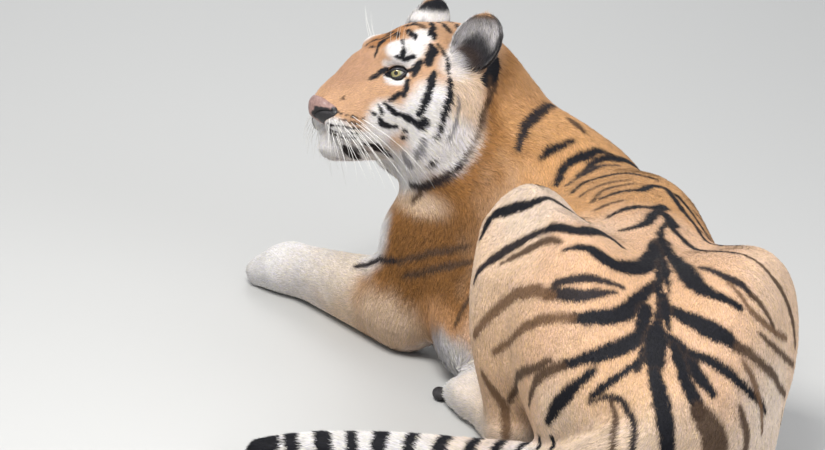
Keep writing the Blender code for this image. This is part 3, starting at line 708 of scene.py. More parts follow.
# Painted shadow: soft dark lines where the ruff's edge overhangs the neck, and along its lower edge over
# the throat.
RUFF_FOLD_SHADOWS = (
    Stripe(Tone.BROWN, (10, 8, 8), (
        (-104, -158, 8), (-118, -146, -40), (-126, -130, -92), (-118, -114, -140),
    )),
    Stripe(Tone.SOOT, (8, 12, 14), (
        (-118, -112, -140), (-104, -96, -174), (-84, -66, -194), (-60, -40, -204),
    )),
)

BODY_GROUPS = (
    Group((*LEFT_HAUNCH, *RIGHT_HAUNCH), 1.7, 0.0026, 0.45),
    Group(SPINE, 1.45, 0.0024, 0.40),
    Group(NECK_AND_BACK, 2.1, 0.0028, 0.40),
)
FACE_GROUPS = (
    Group(FACE, 1.12),
    Group(RUFF_FOLD_SHADOWS, 1.1, 0.0065),
)


# ---------------------------------------------------------------- tools for meshes


def only(obj: bpy.types.Object) -> None:
    """Makes one object the only selected and the active one.

    Args:
        obj: The object.
    """
    bpy.ops.object.select_all(action="DESELECT")
    obj.select_set(True)
    bpy.context.view_layer.objects.active = obj


@contextmanager
def editing(obj: bpy.types.Object, select: str | None = "SELECT") -> Iterator[None]:
    """Edit mode on one object, with all or nothing selected at its start, or what was before.

    Args:
        obj: The object.
        select: SELECT for all, DESELECT for nothing, None for what was before.

    Yields:
        Nothing, while edit mode is on.
    """
    only(obj)
    bpy.ops.object.mode_set(mode="EDIT")
    if select is not None:
        bpy.ops.mesh.select_all(action=select)
    yield
    bpy.ops.object.mode_set(mode="OBJECT")


def select_faces(obj: bpy.types.Object, chosen: Array) -> None:
    """Selects some faces of an object and nothing else of it.

    Args:
        obj: The object.
        chosen: Whether each face is selected.
    """
    with editing(obj, None):
        bpy.ops.mesh.select_mode(type="FACE")
        bpy.ops.mesh.select_all(action="DESELECT")
    obj.data.polygons.foreach_set("select", chosen)


def face_outwards(obj: bpy.types.Object) -> None:
    """Turns all faces of an object outwards."""
    with editing(obj):
        bpy.ops.mesh.normals_make_consistent(inside=False)


def join(parts: Sequence[bpy.types.Object], name: str) -> bpy.types.Object:
    """Makes one named object of several.

    Args:
        parts: The objects, all of which become the first one.
        name: Its new name.

    Returns:
        The one object.
    """
    only(parts[0])
    for part in parts:
        part.select_set(True)
    bpy.ops.object.join()
    obj = bpy.context.view_layer.objects.active
    obj.name = name
    return obj


def coords(obj: bpy.types.Object) -> Array:
    """The vertices of an object's mesh.

    Args:
        obj: The object.

    Returns:
        One row per vertex.
    """
    found = np.empty(len(obj.data.vertices) * 3, np.float32)
    obj.data.vertices.foreach_get("co", found)
    return found.reshape(-1, 3).astype(float)


def place(obj: bpy.types.Object, points: Array) -> None:
    """Moves an object's vertices to the points."""
    obj.data.vertices.foreach_set("co", np.asarray(points, np.float32).ravel())
    obj.data.update()


def normals_of(obj: bpy.types.Object) -> Array:
    """Vertex normals of an object's mesh.

    Args:
        obj: The object.

    Returns:
        One unit row per vertex.
    """
    found = np.empty(len(obj.data.vertices) * 3, np.float32)
    obj.data.vertices.foreach_get("normal", found)
    return found.reshape(-1, 3).astype(float)


def edges_of(obj: bpy.types.Object) -> Array:
    """Pairs of vertices that an edge joins.

    Args:
        obj: The object.

    Returns:
        Two vertex numbers per edge.
    """
    found = np.empty(len(obj.data.edges) * 2, np.int32)
    obj.data.edges.foreach_get("vertices", found)
    return found.reshape(-1, 2)


def triangles_of(obj: bpy.types.Object) -> Array:
    """Corners of the mesh's triangles.

    Args:
        obj: The object.

    Returns:
        Three vertex numbers per triangle.
    """
    obj.data.calc_loop_triangles()
    found = np.empty(len(obj.data.loop_triangles) * 3, np.int32)
    obj.data.loop_triangles.foreach_get("vertices", found)
    return found.reshape(-1, 3)


def first_corners(mesh: bpy.types.Mesh) -> Array:
    """First corner of every face.

    Args:
        mesh: The mesh.

    Returns:
        One vertex number per face.
    """
    starts = np.empty(len(mesh.polygons), np.int32)
    mesh.polygons.foreach_get("loop_start", starts)
    corners = np.empty(len(mesh.loops), np.int32)
    mesh.loops.foreach_get("vertex_index", corners)
    return corners[starts]


def spread(values: Array, edges: Array, turns: int, pull: Array | float) -> Array:
    """Smooths values over a mesh.

    Args:
        values: One row per vertex.
        edges: Pairs of neighbours.
        turns: How many times each vertex moves towards its neighbours' mean.
        pull: Share of the way it moves, one for all or one per vertex.

    Returns:
        The smoothed values.
    """
    count = len(values)
    one, two = edges.T
    most = np.maximum(np.bincount(edges.ravel(), minlength=count), 1)[:, None]
    share = np.broadcast_to(np.asarray(pull, float), (count,))[:, None]
    values = values.copy()
    for _ in range(turns):
        total = np.empty_like(values)
        for k in range(values.shape[1]):
            total[:, k] = np.bincount(one, values[two, k], count) + np.bincount(two, values[one, k], count)
        values += share * (total / most - values)
    return values


def stacked(meshes: Sequence[Mesh]) -> Mesh:
    """Points and faces of several meshes as those of one.

    Args:
        meshes: Points and triangles of each.

    Returns:
        All points, and all triangles numbered anew.
    """
    starts = np.cumsum([0, *(len(points) for points, _ in meshes)])
    faces = [corners + start for (_, corners), start in zip(meshes, starts)]
    return np.vstack([points for points, _ in meshes]), np.vstack(faces)


def areas(corners: Array) -> Array:
    """Areas of triangles from their corners."""
    sides = corners[:, 1] - corners[:, 0], corners[:, 2] - corners[:, 0]
    return np.linalg.norm(np.cross(*sides), axis=1) / 2


def skin_tree(obj: bpy.types.Object) -> BVHTree:
    """A search tree over an object's triangles as they stand."""
    return BVHTree.FromPolygons(coords(obj).tolist(), triangles_of(obj).tolist())


def mesh_piece(name: str, points: Array, faces: Array) -> bpy.types.Object:
    """A new object from points and triangles.

    Args:
        name: Its name.
        points: Its vertices.
        faces: Its triangles.

    Returns:
        The object.
    """
    mesh = bpy.data.meshes.new(name)
    mesh.vertices.add(len(points))
    mesh.vertices.foreach_set("co", np.asarray(points, np.float32).ravel())
    mesh.loops.add(faces.size)
    mesh.loops.foreach_set("vertex_index", faces.astype(np.int32).ravel())
    mesh.polygons.add(len(faces))
    mesh.polygons.foreach_set("loop_start", np.arange(0, faces.size, 3, dtype=np.int32))
    mesh.update(calc_edges=True)
    obj = bpy.data.objects.new(name, mesh)
    bpy.context.scene.collection.objects.link(obj)
    return obj


def colour_points(obj: bpy.types.Object, colours: Array) -> None:
    """Gives each vertex its colour in the attribute that the finishes read.

    Args:
        obj: The object.
        colours: A colour per vertex.
    """
    layer = obj.data.color_attributes.new(COLOURS, "FLOAT_COLOR", "POINT")
    full = np.ones((len(colours), 4), np.float32)
    full[:, :3] = colours
    layer.data.foreach_set("color", full.ravel())


def apply_modifiers(obj: bpy.types.Object) -> None:
    """Applies all modifiers of an object.

    Args:
        obj: The object.
    """
    only(obj)
    for modifier in list(obj.modifiers):
        bpy.ops.object.modifier_apply(modifier=modifier.name)


def soft_shade(obj: bpy.types.Object) -> None:
    """Smooth shading over the whole piece."""
    only(obj)
    bpy.ops.object.shade_smooth()


def hang(obj: bpy.types.Object, material: bpy.types.Material) -> bpy.types.Object:
    """Dresses a piece, and lets it ride on the animal.

    Args:
        obj: The piece.
        material: Its finish.

    Returns:
        The piece.
    """
    obj.data.materials.clear()
    obj.data.materials.append(material)
    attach(obj, "root")
    LOG.info("%s: %d faces", obj.name, len(obj.data.polygons))
    return obj


# ---------------------------------------------------------------- finishes


class Board:
    """The nodes of a new material, with short ways to add and join them.

    Attributes:
        material: The material.
        tree: Its nodes and links.
        shader: Its shader node.
    """

    def __init__(self, name: str) -> None:
        """Starts an empty material.

        Args:
            name: Name of the material.
        """
        self.material = bpy.data.materials.new(name)
        self.material.use_nodes = True
        self.tree = self.material.node_tree
        self.shader = self.tree.nodes["Principled BSDF"]

    def node(self, kind: str, **values: float) -> bpy.types.Node:
        """Adds a node and sets its inputs.

        Args:
            kind: The node's type, without its first word.
            values: Values by the input's name, with _ for a space.

        Returns:
            The node.
        """
        node = self.tree.nodes.new(f"ShaderNode{kind}")
        self.set(node, **values)
        return node

    def set(self, node: bpy.types.Node, **values: float | tuple[float, ...]) -> None:
        """Sets a node's inputs by name, with _ for a space."""
        for name, value in values.items():
            node.inputs[name.replace("_", " ")].default_value = value

    def pattern(self, kind: str, **values: float) -> bpy.types.Node:
        """Adds a texture that lies still on the object.

        Args:
            kind: The node's type, without its first word.
            values: Values by the input's name, with _ for a space.

        Returns:
            The node.
        """
        node = self.node(kind, **values)
        place_on = self.tree.nodes.get("Texture Coordinate") or self.node("TexCoord")
        self.tree.links.new(place_on.outputs["Object"], node.inputs["Vector"])
        return node

    def ranged(self, source: Plug, span: Pair, within: Pair = (0, 1)) -> Plug:
        """Stretches a value.

        Args:
            source: The value.
            span: What it becomes at the ends of its range.
            within: Its range.

        Returns:
            The new value.
        """
        ends = {"From_Min": within[0], "From_Max": within[1], "To_Min": span[0], "To_Max": span[1]}
        node = self.node("MapRange", **ends)
        self.tree.links.new(source, node.inputs["Value"])
        return node.outputs["Result"]

    def colour(self, brightness: Plug) -> None:
        """Takes the colour from the piece's own attribute, times a brightness.

        Args:
            brightness: The factor.
        """
        layer = self.node("VertexColor")
        layer.layer_name = COLOURS
        tint = self.node("HueSaturation")
        self.tree.links.new(layer.outputs["Color"], tint.inputs["Color"])
        self.tree.links.new(brightness, tint.inputs["Value"])
        self.tree.links.new(tint.outputs["Color"], self.shader.inputs["Base Color"])

    def rough(self, source: Plug) -> None:
        """Takes the roughness from a value."""
        self.tree.links.new(source, self.shader.inputs["Roughness"])

    def relief(
        self, height: Plug, distance: float, strength: float = 1.0, dents: bool = False
    ) -> None:
        """Raises the surface where a value is high.

        Args:
            height: The value.
            distance: Height in metres.
            strength: How fully it shows.
            dents: Whether it sinks instead.
        """
        bump = self.node("Bump", Distance=distance, Strength=strength)
        bump.invert = dents
        self.tree.links.new(height, bump.inputs["Height"])
        self.tree.links.new(bump.outputs["Normal"], self.shader.inputs["Normal"])


@dataclass(frozen=True)
class FurFinish:
    """Hair whose colour comes from the piece's own attribute.

    Attributes:
        name: Name of the material.
        rough: Middle roughness.
        sheen: Weight of the soft light at the rim.
        grain: Hairs per metre in the fine pattern.
        bump: Height of that pattern in metres.
        uneven: How much the colour varies.
    """

    name: str
    rough: float = 0.62
    sheen: float = 0.04
    grain: float = 420.0
    bump: float = 0.0006
    uneven: float = 0.22

    def make(self) -> bpy.types.Material:
        """Builds the material.

        Returns:
            The material.
        """
        board = Board(self.name)
        fine = board.pattern("TexNoise", Scale=self.grain, Detail=3).outputs["Fac"]
        broad = board.pattern("TexNoise", Scale=self.grain / 9).outputs["Fac"]
        both = board.node("Math")
        for source, end in zip((fine, broad), both.inputs):
            board.tree.links.new(source, end)
        board.colour(board.ranged(both.outputs[0], (1 - self.uneven, 1 + self.uneven / 2), (0.6, 1.4)))
        board.rough(board.ranged(fine, (self.rough - 0.1, self.rough + 0.12)))
        board.relief(fine, self.bump, 0.7)
        board.set(board.shader, Sheen_Weight=self.sheen, Sheen_Roughness=0.5, Specular_IOR_Level=0.18)
        return board.material


@dataclass(frozen=True)
class LeatherFinish:
    """Bare hide, such as the nose, the lids and the pads.

    Attributes:
        name: Name of the material.
        rough: Roughness of its high places.
        grain: Pebbles per metre.
        bump: Height of the pebbles in metres.
        wet: Weight of the wet coat.
    """

    name: str
    rough: float = 0.42
    grain: float = 700.0
    bump: float = 0.0005
    wet: float = 0.0

    def make(self) -> bpy.types.Material:
        """Builds the material.

        Returns:
            The material.
        """
        board = Board(self.name)
        pebbles = board.pattern("TexVoronoi", Scale=self.grain).outputs["Distance"]
        # Painted shade: the colour darkens towards the pebbles' edges, where the dents sink.
        board.colour(board.ranged(pebbles, (1.12, 0.72), (0, 0.6)))
        board.rough(board.ranged(pebbles, (self.rough, self.rough + 0.2), (0, 0.6)))
        board.relief(pebbles, self.bump, dents=True)
        board.set(board.shader, Coat_Weight=self.wet, Coat_Roughness=0.12)
        return board.material


@dataclass(frozen=True)
class EyeFinish:
    """The wet ball of the eye with its iris, from the ball's own attribute.

    Attributes:
        name: Name of the material.
        rough: Least roughness under the wet coat.
        grain: Flecks per metre.
        bump: Height of the flecks in metres.
    """

    name: str = "wet_eye"
    rough: float = 0.12
    grain: float = 900.0
    bump: float = 0.00005

    def make(self) -> bpy.types.Material:
        """Builds the material.

        Returns:
            The material.
        """
        board = Board(self.name)
        flecks = board.pattern("TexNoise", Scale=self.grain, Detail=4).outputs["Fac"]
        board.colour(board.ranged(flecks, (0.8, 1.15), (0.3, 0.7)))
        board.rough(board.ranged(flecks, (self.rough, self.rough + 0.15)))
        board.relief(flecks, self.bump)
        board.set(board.shader, Coat_Weight=1.0, Coat_Roughness=0.03)
        return board.material


# ---------------------------------------------------------------- skin


@dataclass
class Skin:
    """One skin over all the flesh, without a seam, inside the coat.

    Attributes:
        places: The animal's directions.
        grain: Step of the first close mesh.
        gap: Half of the thin cut between two solids.
        softening: How far each turn of smoothing goes on the body.
        keep: Share of the triangles kept on the body.
        thinned: The share under which a zone counts as thinned.
        uneven: Roughness that makes the thinning even.
        weld: How near two vertices of a node are one.
        obj: The piece itself.
        zones: Names of the nodes that it covers.
        zone: Number of the node that each vertex lies nearest to.
        zone_tree: The nodes' triangles.
        zone_of_face: Number of the node that each of those belongs to.
    """

    places: Places
    grain: float = 0.0030
    gap: float = 0.0004
    softening: float = 0.55
    keep: float = 0.19
    thinned: float = 0.5
    uneven: float = 0.0003
    weld: float = 0.00002
    obj: bpy.types.Object = field(init=False)
    zones: list[str] = field(init=False)
    zone: Array = field(init=False)
    zone_tree: BVHTree = field(init=False)
    zone_of_face: Array = field(init=False)

    def build(self, nodes: dict[str, bpy.types.Object]) -> None:
        """Makes the skin from the flesh nodes.

        Args:
            nodes: The CAD nodes by name.
        """
        self.zones = sorted(name for name in nodes if not name.startswith("eye"))
        self.map_zones(nodes)
        self.join_flesh(nodes)
        self.close()
        self.soften()
        self.thin()
        self.zone = self.find_zones(coords(self.obj))

    def map_zones(self, nodes: dict[str, bpy.types.Object]) -> None:
        """Remembers which node each place on the flesh belongs to.

        Args:
            nodes: The CAD nodes by name.
        """
        meshes = [(coords(nodes[name]), triangles_of(nodes[name])) for name in self.zones]
        points, faces = stacked(meshes)
        self.zone_tree = BVHTree.FromPolygons(points.tolist(), faces.tolist())
        self.zone_of_face = np.repeat(np.arange(len(meshes)), [len(corners) for _, corners in meshes])

    def find_zones(self, points: Array) -> Array:
        """Number of the nearest node for each point."""
        tree = self.zone_tree
        return self.zone_of_face[[tree.find_nearest(point)[2] for point in points.tolist()]]

    def join_flesh(self, nodes: dict[str, bpy.types.Object]) -> None:
        """Joins swollen copies of the nodes, so that the thin cuts between them close.

        Args:
            nodes: The CAD nodes by name.
        """
        copies = []
        for name in self.zones:
            copy = nodes[name].copy()
            copy.data = nodes[name].data.copy()
            for key in [key for key in copy.keys() if key.startswith("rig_")]:
                del copy[key]
            copy.parent = None
            copy.matrix_world = Matrix.Identity(4)
            bpy.context.scene.collection.objects.link(copy)
            body = bmesh.new()
            body.from_mesh(copy.data)
            bmesh.ops.remove_doubles(body, verts=body.verts, dist=self.weld)
            body.normal_update()
            for vert in body.verts:
                vert.co += vert.normal * self.gap
            body.to_mesh(copy.data)
            body.free()
            copies.append(copy)
        self.obj = join(copies, "skin")

    def close(self) -> None:
        """Turns the joined shells into one closed mesh."""
        remesh = self.obj.modifiers.new("close", "REMESH")
        remesh.mode = "VOXEL"
        remesh.voxel_size = self.grain
        apply_modifiers(self.obj)
        self.keep_outer()

    def keep_outer(self) -> None:
        """Deletes all but the piece that reaches the top."""
        with editing(self.obj, "DESELECT"):
            body = bmesh.from_edit_mesh(self.obj.data)
            max(body.verts, key=lambda vert: vert.co.z).select = True
            body.select_flush(True)
            bmesh.update_edit_mesh(self.obj.data)
            bpy.ops.mesh.select_linked()
            bpy.ops.mesh.select_all(action="INVERT")
            bpy.ops.mesh.delete(type="VERT")

    def soften(self) -> None:
        """Smooths the solids' facets out, little on the face and least on the ears."""
        points, edges = coords(self.obj), edges_of(self.obj)
        pull = self.by_zone(points, SOFTENING, self.softening)
        pull = spread(pull[:, None], edges, 12, 0.5)[:, 0]
        place(self.obj, spread(points, edges, SOFTENING_TURNS, pull))

    def by_zone(self, points: Array, table: dict[str, float], usual: float) -> Array:
        """A value for each point by the node that it is nearest to.

        Args:
            points: Places on the skin.
            table: Value by the first letters of a node's name.
            usual: Value of the nodes that the table leaves out.

        Returns:
            One value per point.
        """
        values = [usual] * len(self.zones)
        for number, name in enumerate(self.zones):
            for prefix, value in table.items():
                if name.startswith(prefix):
                    values[number] = value
        return np.array(values)[self.find_zones(points)]

    def thin(self) -> None:
        """Takes triangles off evenly, most on the broad parts and fewest on the face and ears."""
        with editing(self.obj):
            bpy.ops.mesh.quads_convert_to_tris()
        points = coords(self.obj)
        keeps = self.keeps()
        uneven = np.random.default_rng(SEED).normal(0, self.uneven, len(points)) * (keeps < self.thinned)
        place(self.obj, points + normals_of(self.obj) * uneven[:, None])
        for share in sorted(set(keeps.tolist())):
            self.thin_part(share)
        edges = edges_of(self.obj)
        pull = spread(np.where(self.keeps() < self.thinned, 0.6, 0.0)[:, None], edges, 4, 0.5)[:, 0]
        place(self.obj, spread(coords(self.obj), edges, 3, pull))

    def keeps(self) -> Array:
        """Share of the triangles to keep round each vertex."""
        return np.round(self.by_zone(coords(self.obj), KEEP, self.keep), 2)

    def thin_part(self, share: float) -> None:
        """Thins the zones that keep this share of their triangles.

        Args:
            share: The share.
        """
        select_faces(self.obj, (self.keeps() == share)[first_corners(self.obj.data)])
        with editing(self.obj, None):
            bpy.ops.mesh.decimate(ratio=share)
        LOG.info("skin thinned to %.2f: %d faces", share, len(self.obj.data.polygons))


SOFTENING_TURNS = 34
SOFTENING = {
    "forearm": 0.4,
    "tail": 0.4,
    "forepaw": 0.22,
    "hind_foot": 0.22,
    "head": 0.16,
    "ear": 0.06,
}
KEEP = {
    "head": 0.54,
    "ear": 0.60,
    "forepaw": 0.32,
    "hind_foot": 0.24,
    "tail": 0.24,
    "belly": 0.13,
    "chest": 0.15,
}
LIE = {
    "neck": (0.75, -0.25, -0.40),
    "chest": (0.10, -0.60, -0.65),
    "belly": (0.00, -0.85, -0.45),
    "rump": (0.00, -0.80, -0.60),
    "thigh_left": (-0.15, -0.65, -0.65),
    "thigh_right": (0.15, -0.65, -0.65),
    "upper_arm_left": (-0.25, -0.35, -0.90),
    "upper_arm_right": (0.15, -0.25, -0.90),
    "forearm_left": (-0.66, 0.75, -0.10),
    "forearm_right": (-0.50, 0.86, -0.10),
    "forepaw_left": (-0.66, 0.75, -0.25),
    "forepaw_right": (-0.50, 0.86, -0.25),
    "hind_foot_left": (-0.30, 0.90, -0.25),
    "hind_foot_right": (0.04, 1.00, -0.25),
    "ear_left": (-0.10, -0.10, 1.00),
    "ear_right": (0.05, 0.10, 1.00),
}
NOSE_TIP = (0, 0.155, -0.070)
CHEEK_DROOP = 0.35
RUFF_LIE = (0.0, -0.15, -1.0)


@dataclass
class Hide:
    """What grows on each vertex of the skin: ground colour, length, width, rise, gap and lie.

    Attributes:
        skin: The skin.
        values: A row for each vertex: colour, length, width, rise and gap.
        lie: Direction of the hair at each.
        inner_ear: 1 inside the ears' cups, 0 off them.
    """

    skin: Skin
    values: Array = field(init=False)
    lie: Array = field(init=False)
    inner_ear: Array = field(init=False)

    def survey(self) -> None:
        """Reads the coat for the skin's vertices as they stand."""
        points = coords(self.skin.obj)
        normals = normals_of(self.skin.obj)
        edges = edges_of(self.skin.obj)
        rows = [
            next(pelt.row() for key, pelt in PELTS.items() if name.startswith(key))
            for name in self.skin.zones
        ]
        values = spread(np.array(rows)[self.skin.zone], edges, 16, 0.5)
        rough = Ripple(0.05, 11).at(points)
        head = self.within(("head", "ear"))
        values = self.lay_fields(values, points / CM, BODY_FIELDS, 1 - head, rough)
        local = self.skin.places.head.local(points) / MM
        values = self.lay_fields(values, local, HEAD_FIELDS, self.within(("head", "ear", "neck")), rough)
        values = self.dress_ears(values, points, normals)
        values = self.lay_fields(values, local, EAR_FIELDS, head, rough)
        self.values = spread(values, edges, 2, 0.5)
        self.lie = self.find_lie(points, normals, edges)

    def within(self, parts: tuple[str, ...]) -> Array:
        """1 on the nodes whose names start like this, 0 off them."""
        return np.array([name.startswith(parts) for name in self.skin.zones], float)[self.skin.zone]

    def lay_fields(
        self, values: Array, points: Array, fields: tuple[Field, ...], where: Array, rough: Array
    ) -> Array:
        """Lays fields of another coat over the ground.

        Args:
            values: Rows of the coat.
            points: Places in the fields' units.
            fields: The fields in order.
            where: 1 where they may lie.
            rough: Noise for their edges.

        Returns:
            The new rows.
        """
        for one in fields:
            cover = one.cover(points, rough) * where
            if one.pelt is not None:
                row = np.array(one.pelt.row()[LENGTH:])
                values[:, LENGTH:] = toned(values[:, LENGTH:], row, cover)
            if one.tone is not None:
                values[:, :LENGTH] = toned(values[:, :LENGTH], one.tone.rgb, cover)
        return values

    def dress_ears(self, values: Array, points: Array, normals: Array) -> Array:
        """Gives the ears their pale fringed cups, darkened towards their base as painted shade, and dark
        backs with a white spot.

        Args:
            values: Rows of the coat.
            points: Vertices of the skin.
            normals: Their normals.

        Returns:
            The new rows.
        """
        self.inner_ear = np.zeros(len(points))
        up = self.skin.places.head.turn[:, 2]
        for number, name in enumerate(self.skin.zones):
            if not name.startswith("ear"):
                continue
            here = self.skin.zone == number
            centre, way = self.skin.places.ears[name]
            height = (points - centre) @ up / 0.045
            across = (points - centre) @ np.cross(way, up) / 0.04
            facing = normals @ way
            inner = ramp(-0.15, 0.25, facing) * here
            self.inner_ear = np.maximum(self.inner_ear, inner)
            side = -1 if name.endswith("left") else 1
            spot = ramp(0.27, 0.17, np.abs(height - 0.48)) * ramp(1.3, 0.9, np.abs(across))
            back = toned(Tone.BLACK.rgb, Tone.WHITE.rgb, spot)
            back = toned(back, 0.5 * Tone.SILVER.rgb, ramp(0.20, 0.05, height))
            # Painted shade: the cup turns black towards its base, deep in the hollow.
            cup_shade = ramp(1.30, 0.70, np.hypot(height + 0.75, across * 1.35))
            front = toned(Tone.SILVER.rgb, Tone.BLACK.rgb, cup_shade * 0.97)
            front = toned(front, Tone.FAWN.rgb, ramp(0.80, 1.05, height))
            edge = inner * ramp(0.75, 0.45, facing) * ramp(0.3, 0.7, across * side)
            colour = toned(toned(back, front, inner), Tone.BLACK.rgb, edge)
            values[here, :LENGTH] = colour[here]
            values[here, LENGTH] += (inner * 0.006)[here]
            values[here, RISE] += (inner * 0.15)[here]
        return values

    def find_lie(self, points: Array, normals: Array, edges: Array) -> Array:
        """Direction of the hair at each vertex.

        Args:
            points: Vertices of the skin.
            normals: Their normals.
            edges: Pairs of neighbours.

        Returns:
            Unit directions in the skin.
        """
        head = self.skin.places.head
        lie = np.zeros_like(points)
        for number, name in enumerate(self.skin.zones):
            here = self.skin.zone == number
            if name == "head":
                local = head.local(points[here])
                away = unit(local - np.array(NOSE_TIP))
                away[:, 2] -= CHEEK_DROOP * ramp(0.0, -0.08, local[:, 2]) * ramp(0.09, 0.0, local[:, 1])
                ruff = (ramp(-0.045, -0.085, local[:, 1]) * ramp(0.03, -0.03, local[:, 2]))[:, None]
                away += ruff * (np.array(RUFF_LIE) - away)
                lie[here] = head.way(away)
            elif name.startswith("tail"):
                lie[here] = self.skin.places.along_tail(points[here])[1]
            else:
                lie[here] = unit(LIE[name])
        lie = spread(lie, edges, 26, 0.5)
        wander = np.stack([Ripple(0.07, seed).at(points) for seed in (21, 22, 23)], axis=1)
        return flat_part(flat_part(lie, normals) + 0.10 * wander, normals)


# ---------------------------------------------------------------- painter


@dataclass
class Painter:
    """Lays stripes, rings and spots over the ground colour, the same for the skin and the coat.

    Attributes:
        places: The animal's directions.
        skin: The skin that the marks are set on.
        soft: Half width of a ring's soft edge on the tail.
        marks: The marks in the order in which they are laid.
    """

    places: Places
    skin: Skin
    soft: float = 0.0016
    marks: list[Mark] = field(default_factory=list)

    def set_marks(self) -> None:
        """Puts every stripe on the skin."""
        tree = skin_tree(self.skin.obj)
        limbs = Group((*flank_stripes(), *leg_stripes()), 1.5, 0.0022, 0.4)
        for group in (*BODY_GROUPS, limbs):
            for stripe in group.stripes:
                line, width = stripe.line()
                self.set_mark(tree, line * CM, width, stripe.tone, group)
        for group in FACE_GROUPS:
            for stripe in group.stripes:
                line, width = stripe.line()
                for side in (1, -1):
                    at = self.places.head.world(line * MM * (side, 1, 1))
                    self.set_mark(tree, at, width, stripe.tone, group)
        dots = Group((), soft=0.0010)
        for spot, size in whisker_spots():
            for side in (1, -1):
                dash = np.array([spot + (0, 0.001, 0), spot - (0, 0.001, 0)])
                at = self.places.head.world(dash * (side, 1, 1))
                self.set_mark(tree, at, np.array([size, size * 0.7]), Tone.SOOT, dots)

    def set_mark(self, tree: BVHTree, line: Array, width: Array, tone: Tone, group: Group) -> None:
        """Drops one line onto the skin and keeps it.

        Args:
            tree: The skin.
            line: The line in the model's frame.
            width: Half its width at each point.
            tone: Its colour.
            group: How it is drawn.
        """
        found = [tree.find_nearest(point) for point in line.tolist()]
        spots = np.array([hit[0] for hit in found])
        normals = np.array([hit[1] for hit in found])
        self.marks.append(Mark(spots, normals, width * group.bold, tone, group.soft, group.halo))

    def paint(self, points: Array, ground: Array, jitter: Array | float = 0.0) -> Array:
        """Colours of the coat.

        Args:
            points: Places on the skin.
            ground: Ground colour at each.
            jitter: Shift of a mark's edge at each, in metres.

        Returns:
            Colours with all marks.
        """
        colours = ground.copy()
        rough = 0.0011 * Ripple(0.022, 31).at(points) + 0.0007 * Ripple(0.008, 32).at(points) + jitter
        for mark in self.marks:
            reach = mark.width.max() + 0.010 + 2 * mark.soft
            low, high = mark.spots.min(0) - reach, mark.spots.max(0) + reach
            near = np.nonzero(((points > low) & (points < high)).all(axis=1))[0]
            if not len(near):
                continue
            depth = mark.depth(points[near]) + rough[near]
            if mark.halo:
                cover = mark.halo * ramp(-3.0 * mark.soft, 0.5 * mark.soft, depth)
                colours[near] = toned(colours[near], Tone.BROWN.rgb, cover)
            cover = ramp(-mark.soft, mark.soft, depth) * STRENGTH.get(mark.tone, 1.0)
            colours[near] = toned(colours[near], mark.tone.rgb, cover)
        return self.line_eyes(points, self.ring_tail(points, colours, rough))

    def line_eyes(self, points: Array, colours: Array) -> Array:
        """Black lids with a white crescent under each eye.

        Args:
            points: Places on the skin.
            colours: Their colours.

        Returns:
            The new colours.
        """
        for side in Side:
            socket = Socket(self.places.head, side)
            near = np.nonzero(np.linalg.norm(points - self.places.head.eyes[side], axis=1) < 0.034)[0]
            if not len(near):
                continue
            local = socket.local(points[near])
            low, high = socket.lids(local[:, 0])
            beyond = np.maximum(socket.inner[0] - local[:, 0], local[:, 0] - socket.outer[0])
            off = np.maximum(np.maximum(low - local[:, 2], local[:, 2] - high), beyond)
            under = local[:, 2] < low
            front = local[:, 1] > 0
            crescent = ramp(0.0075, 0.0060, off) * under * front * ramp(-0.026, -0.018, local[:, 0])
            black = ramp(0.0046, 0.0034, off + 0.0018 * under) * front
            for cover, tone in ((crescent, Tone.WHITE), (black, Tone.BLACK)):
                colours[near] = toned(colours[near], tone.rgb, cover)
        return colours

    def ring_tail(self, points: Array, colours: Array, rough: Array) -> Array:
        """Rings on the tail and its black tip.

        Args:
            points: Places on the skin.
            colours: Their colours.
            rough: Shift of the rings' edges at each, in metres.

        Returns:
            The new colours.
        """
        low = np.minimum(*(np.array(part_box(f"tail_{k}")[0]) for k in (1, 4)))
        high = np.maximum(*(np.array(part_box(f"tail_{k}")[1]) for k in (1, 4)))
        near = np.nonzero(((points > low - CM) & (points < high + CM)).all(axis=1))[0]
        place_on, _, off = self.places.along_tail(points[near])
        best = np.full(len(near), -1.0)
        for at, half in TAIL_RINGS:
            best = np.maximum(best, half * MM - np.abs(place_on - at * MM))
        on_tail = ramp(0.13, 0.17, place_on) * ramp(0.078, 0.070, off)
        cover = ramp(-self.soft, self.soft, best + rough[near]) * on_tail
        colours[near] = toned(colours[near], Tone.BLACK.rgb, cover)
        return colours


# How fully a tone covers, where not wholly.
STRENGTH = {Tone.TAN: 0.85, Tone.BROWN: 0.90, Tone.GREY: 0.75}
# Place along the tail and half width of each ring, in mm.
TAIL_RINGS = (
    (190, 7), (245, 8), (300, 9), (352, 11), (402, 11), (455, 13),
    (508, 10), (560, 14), (612, 11), (664, 15), (716, 12), (775, 40),
)
# How far forward each flank's stripes lie, in cm, by side.
FLANK_ROWS = {-1: (-20, -26), 1: (-33, -27, -21, -15, -9, -3, 3, 9)}


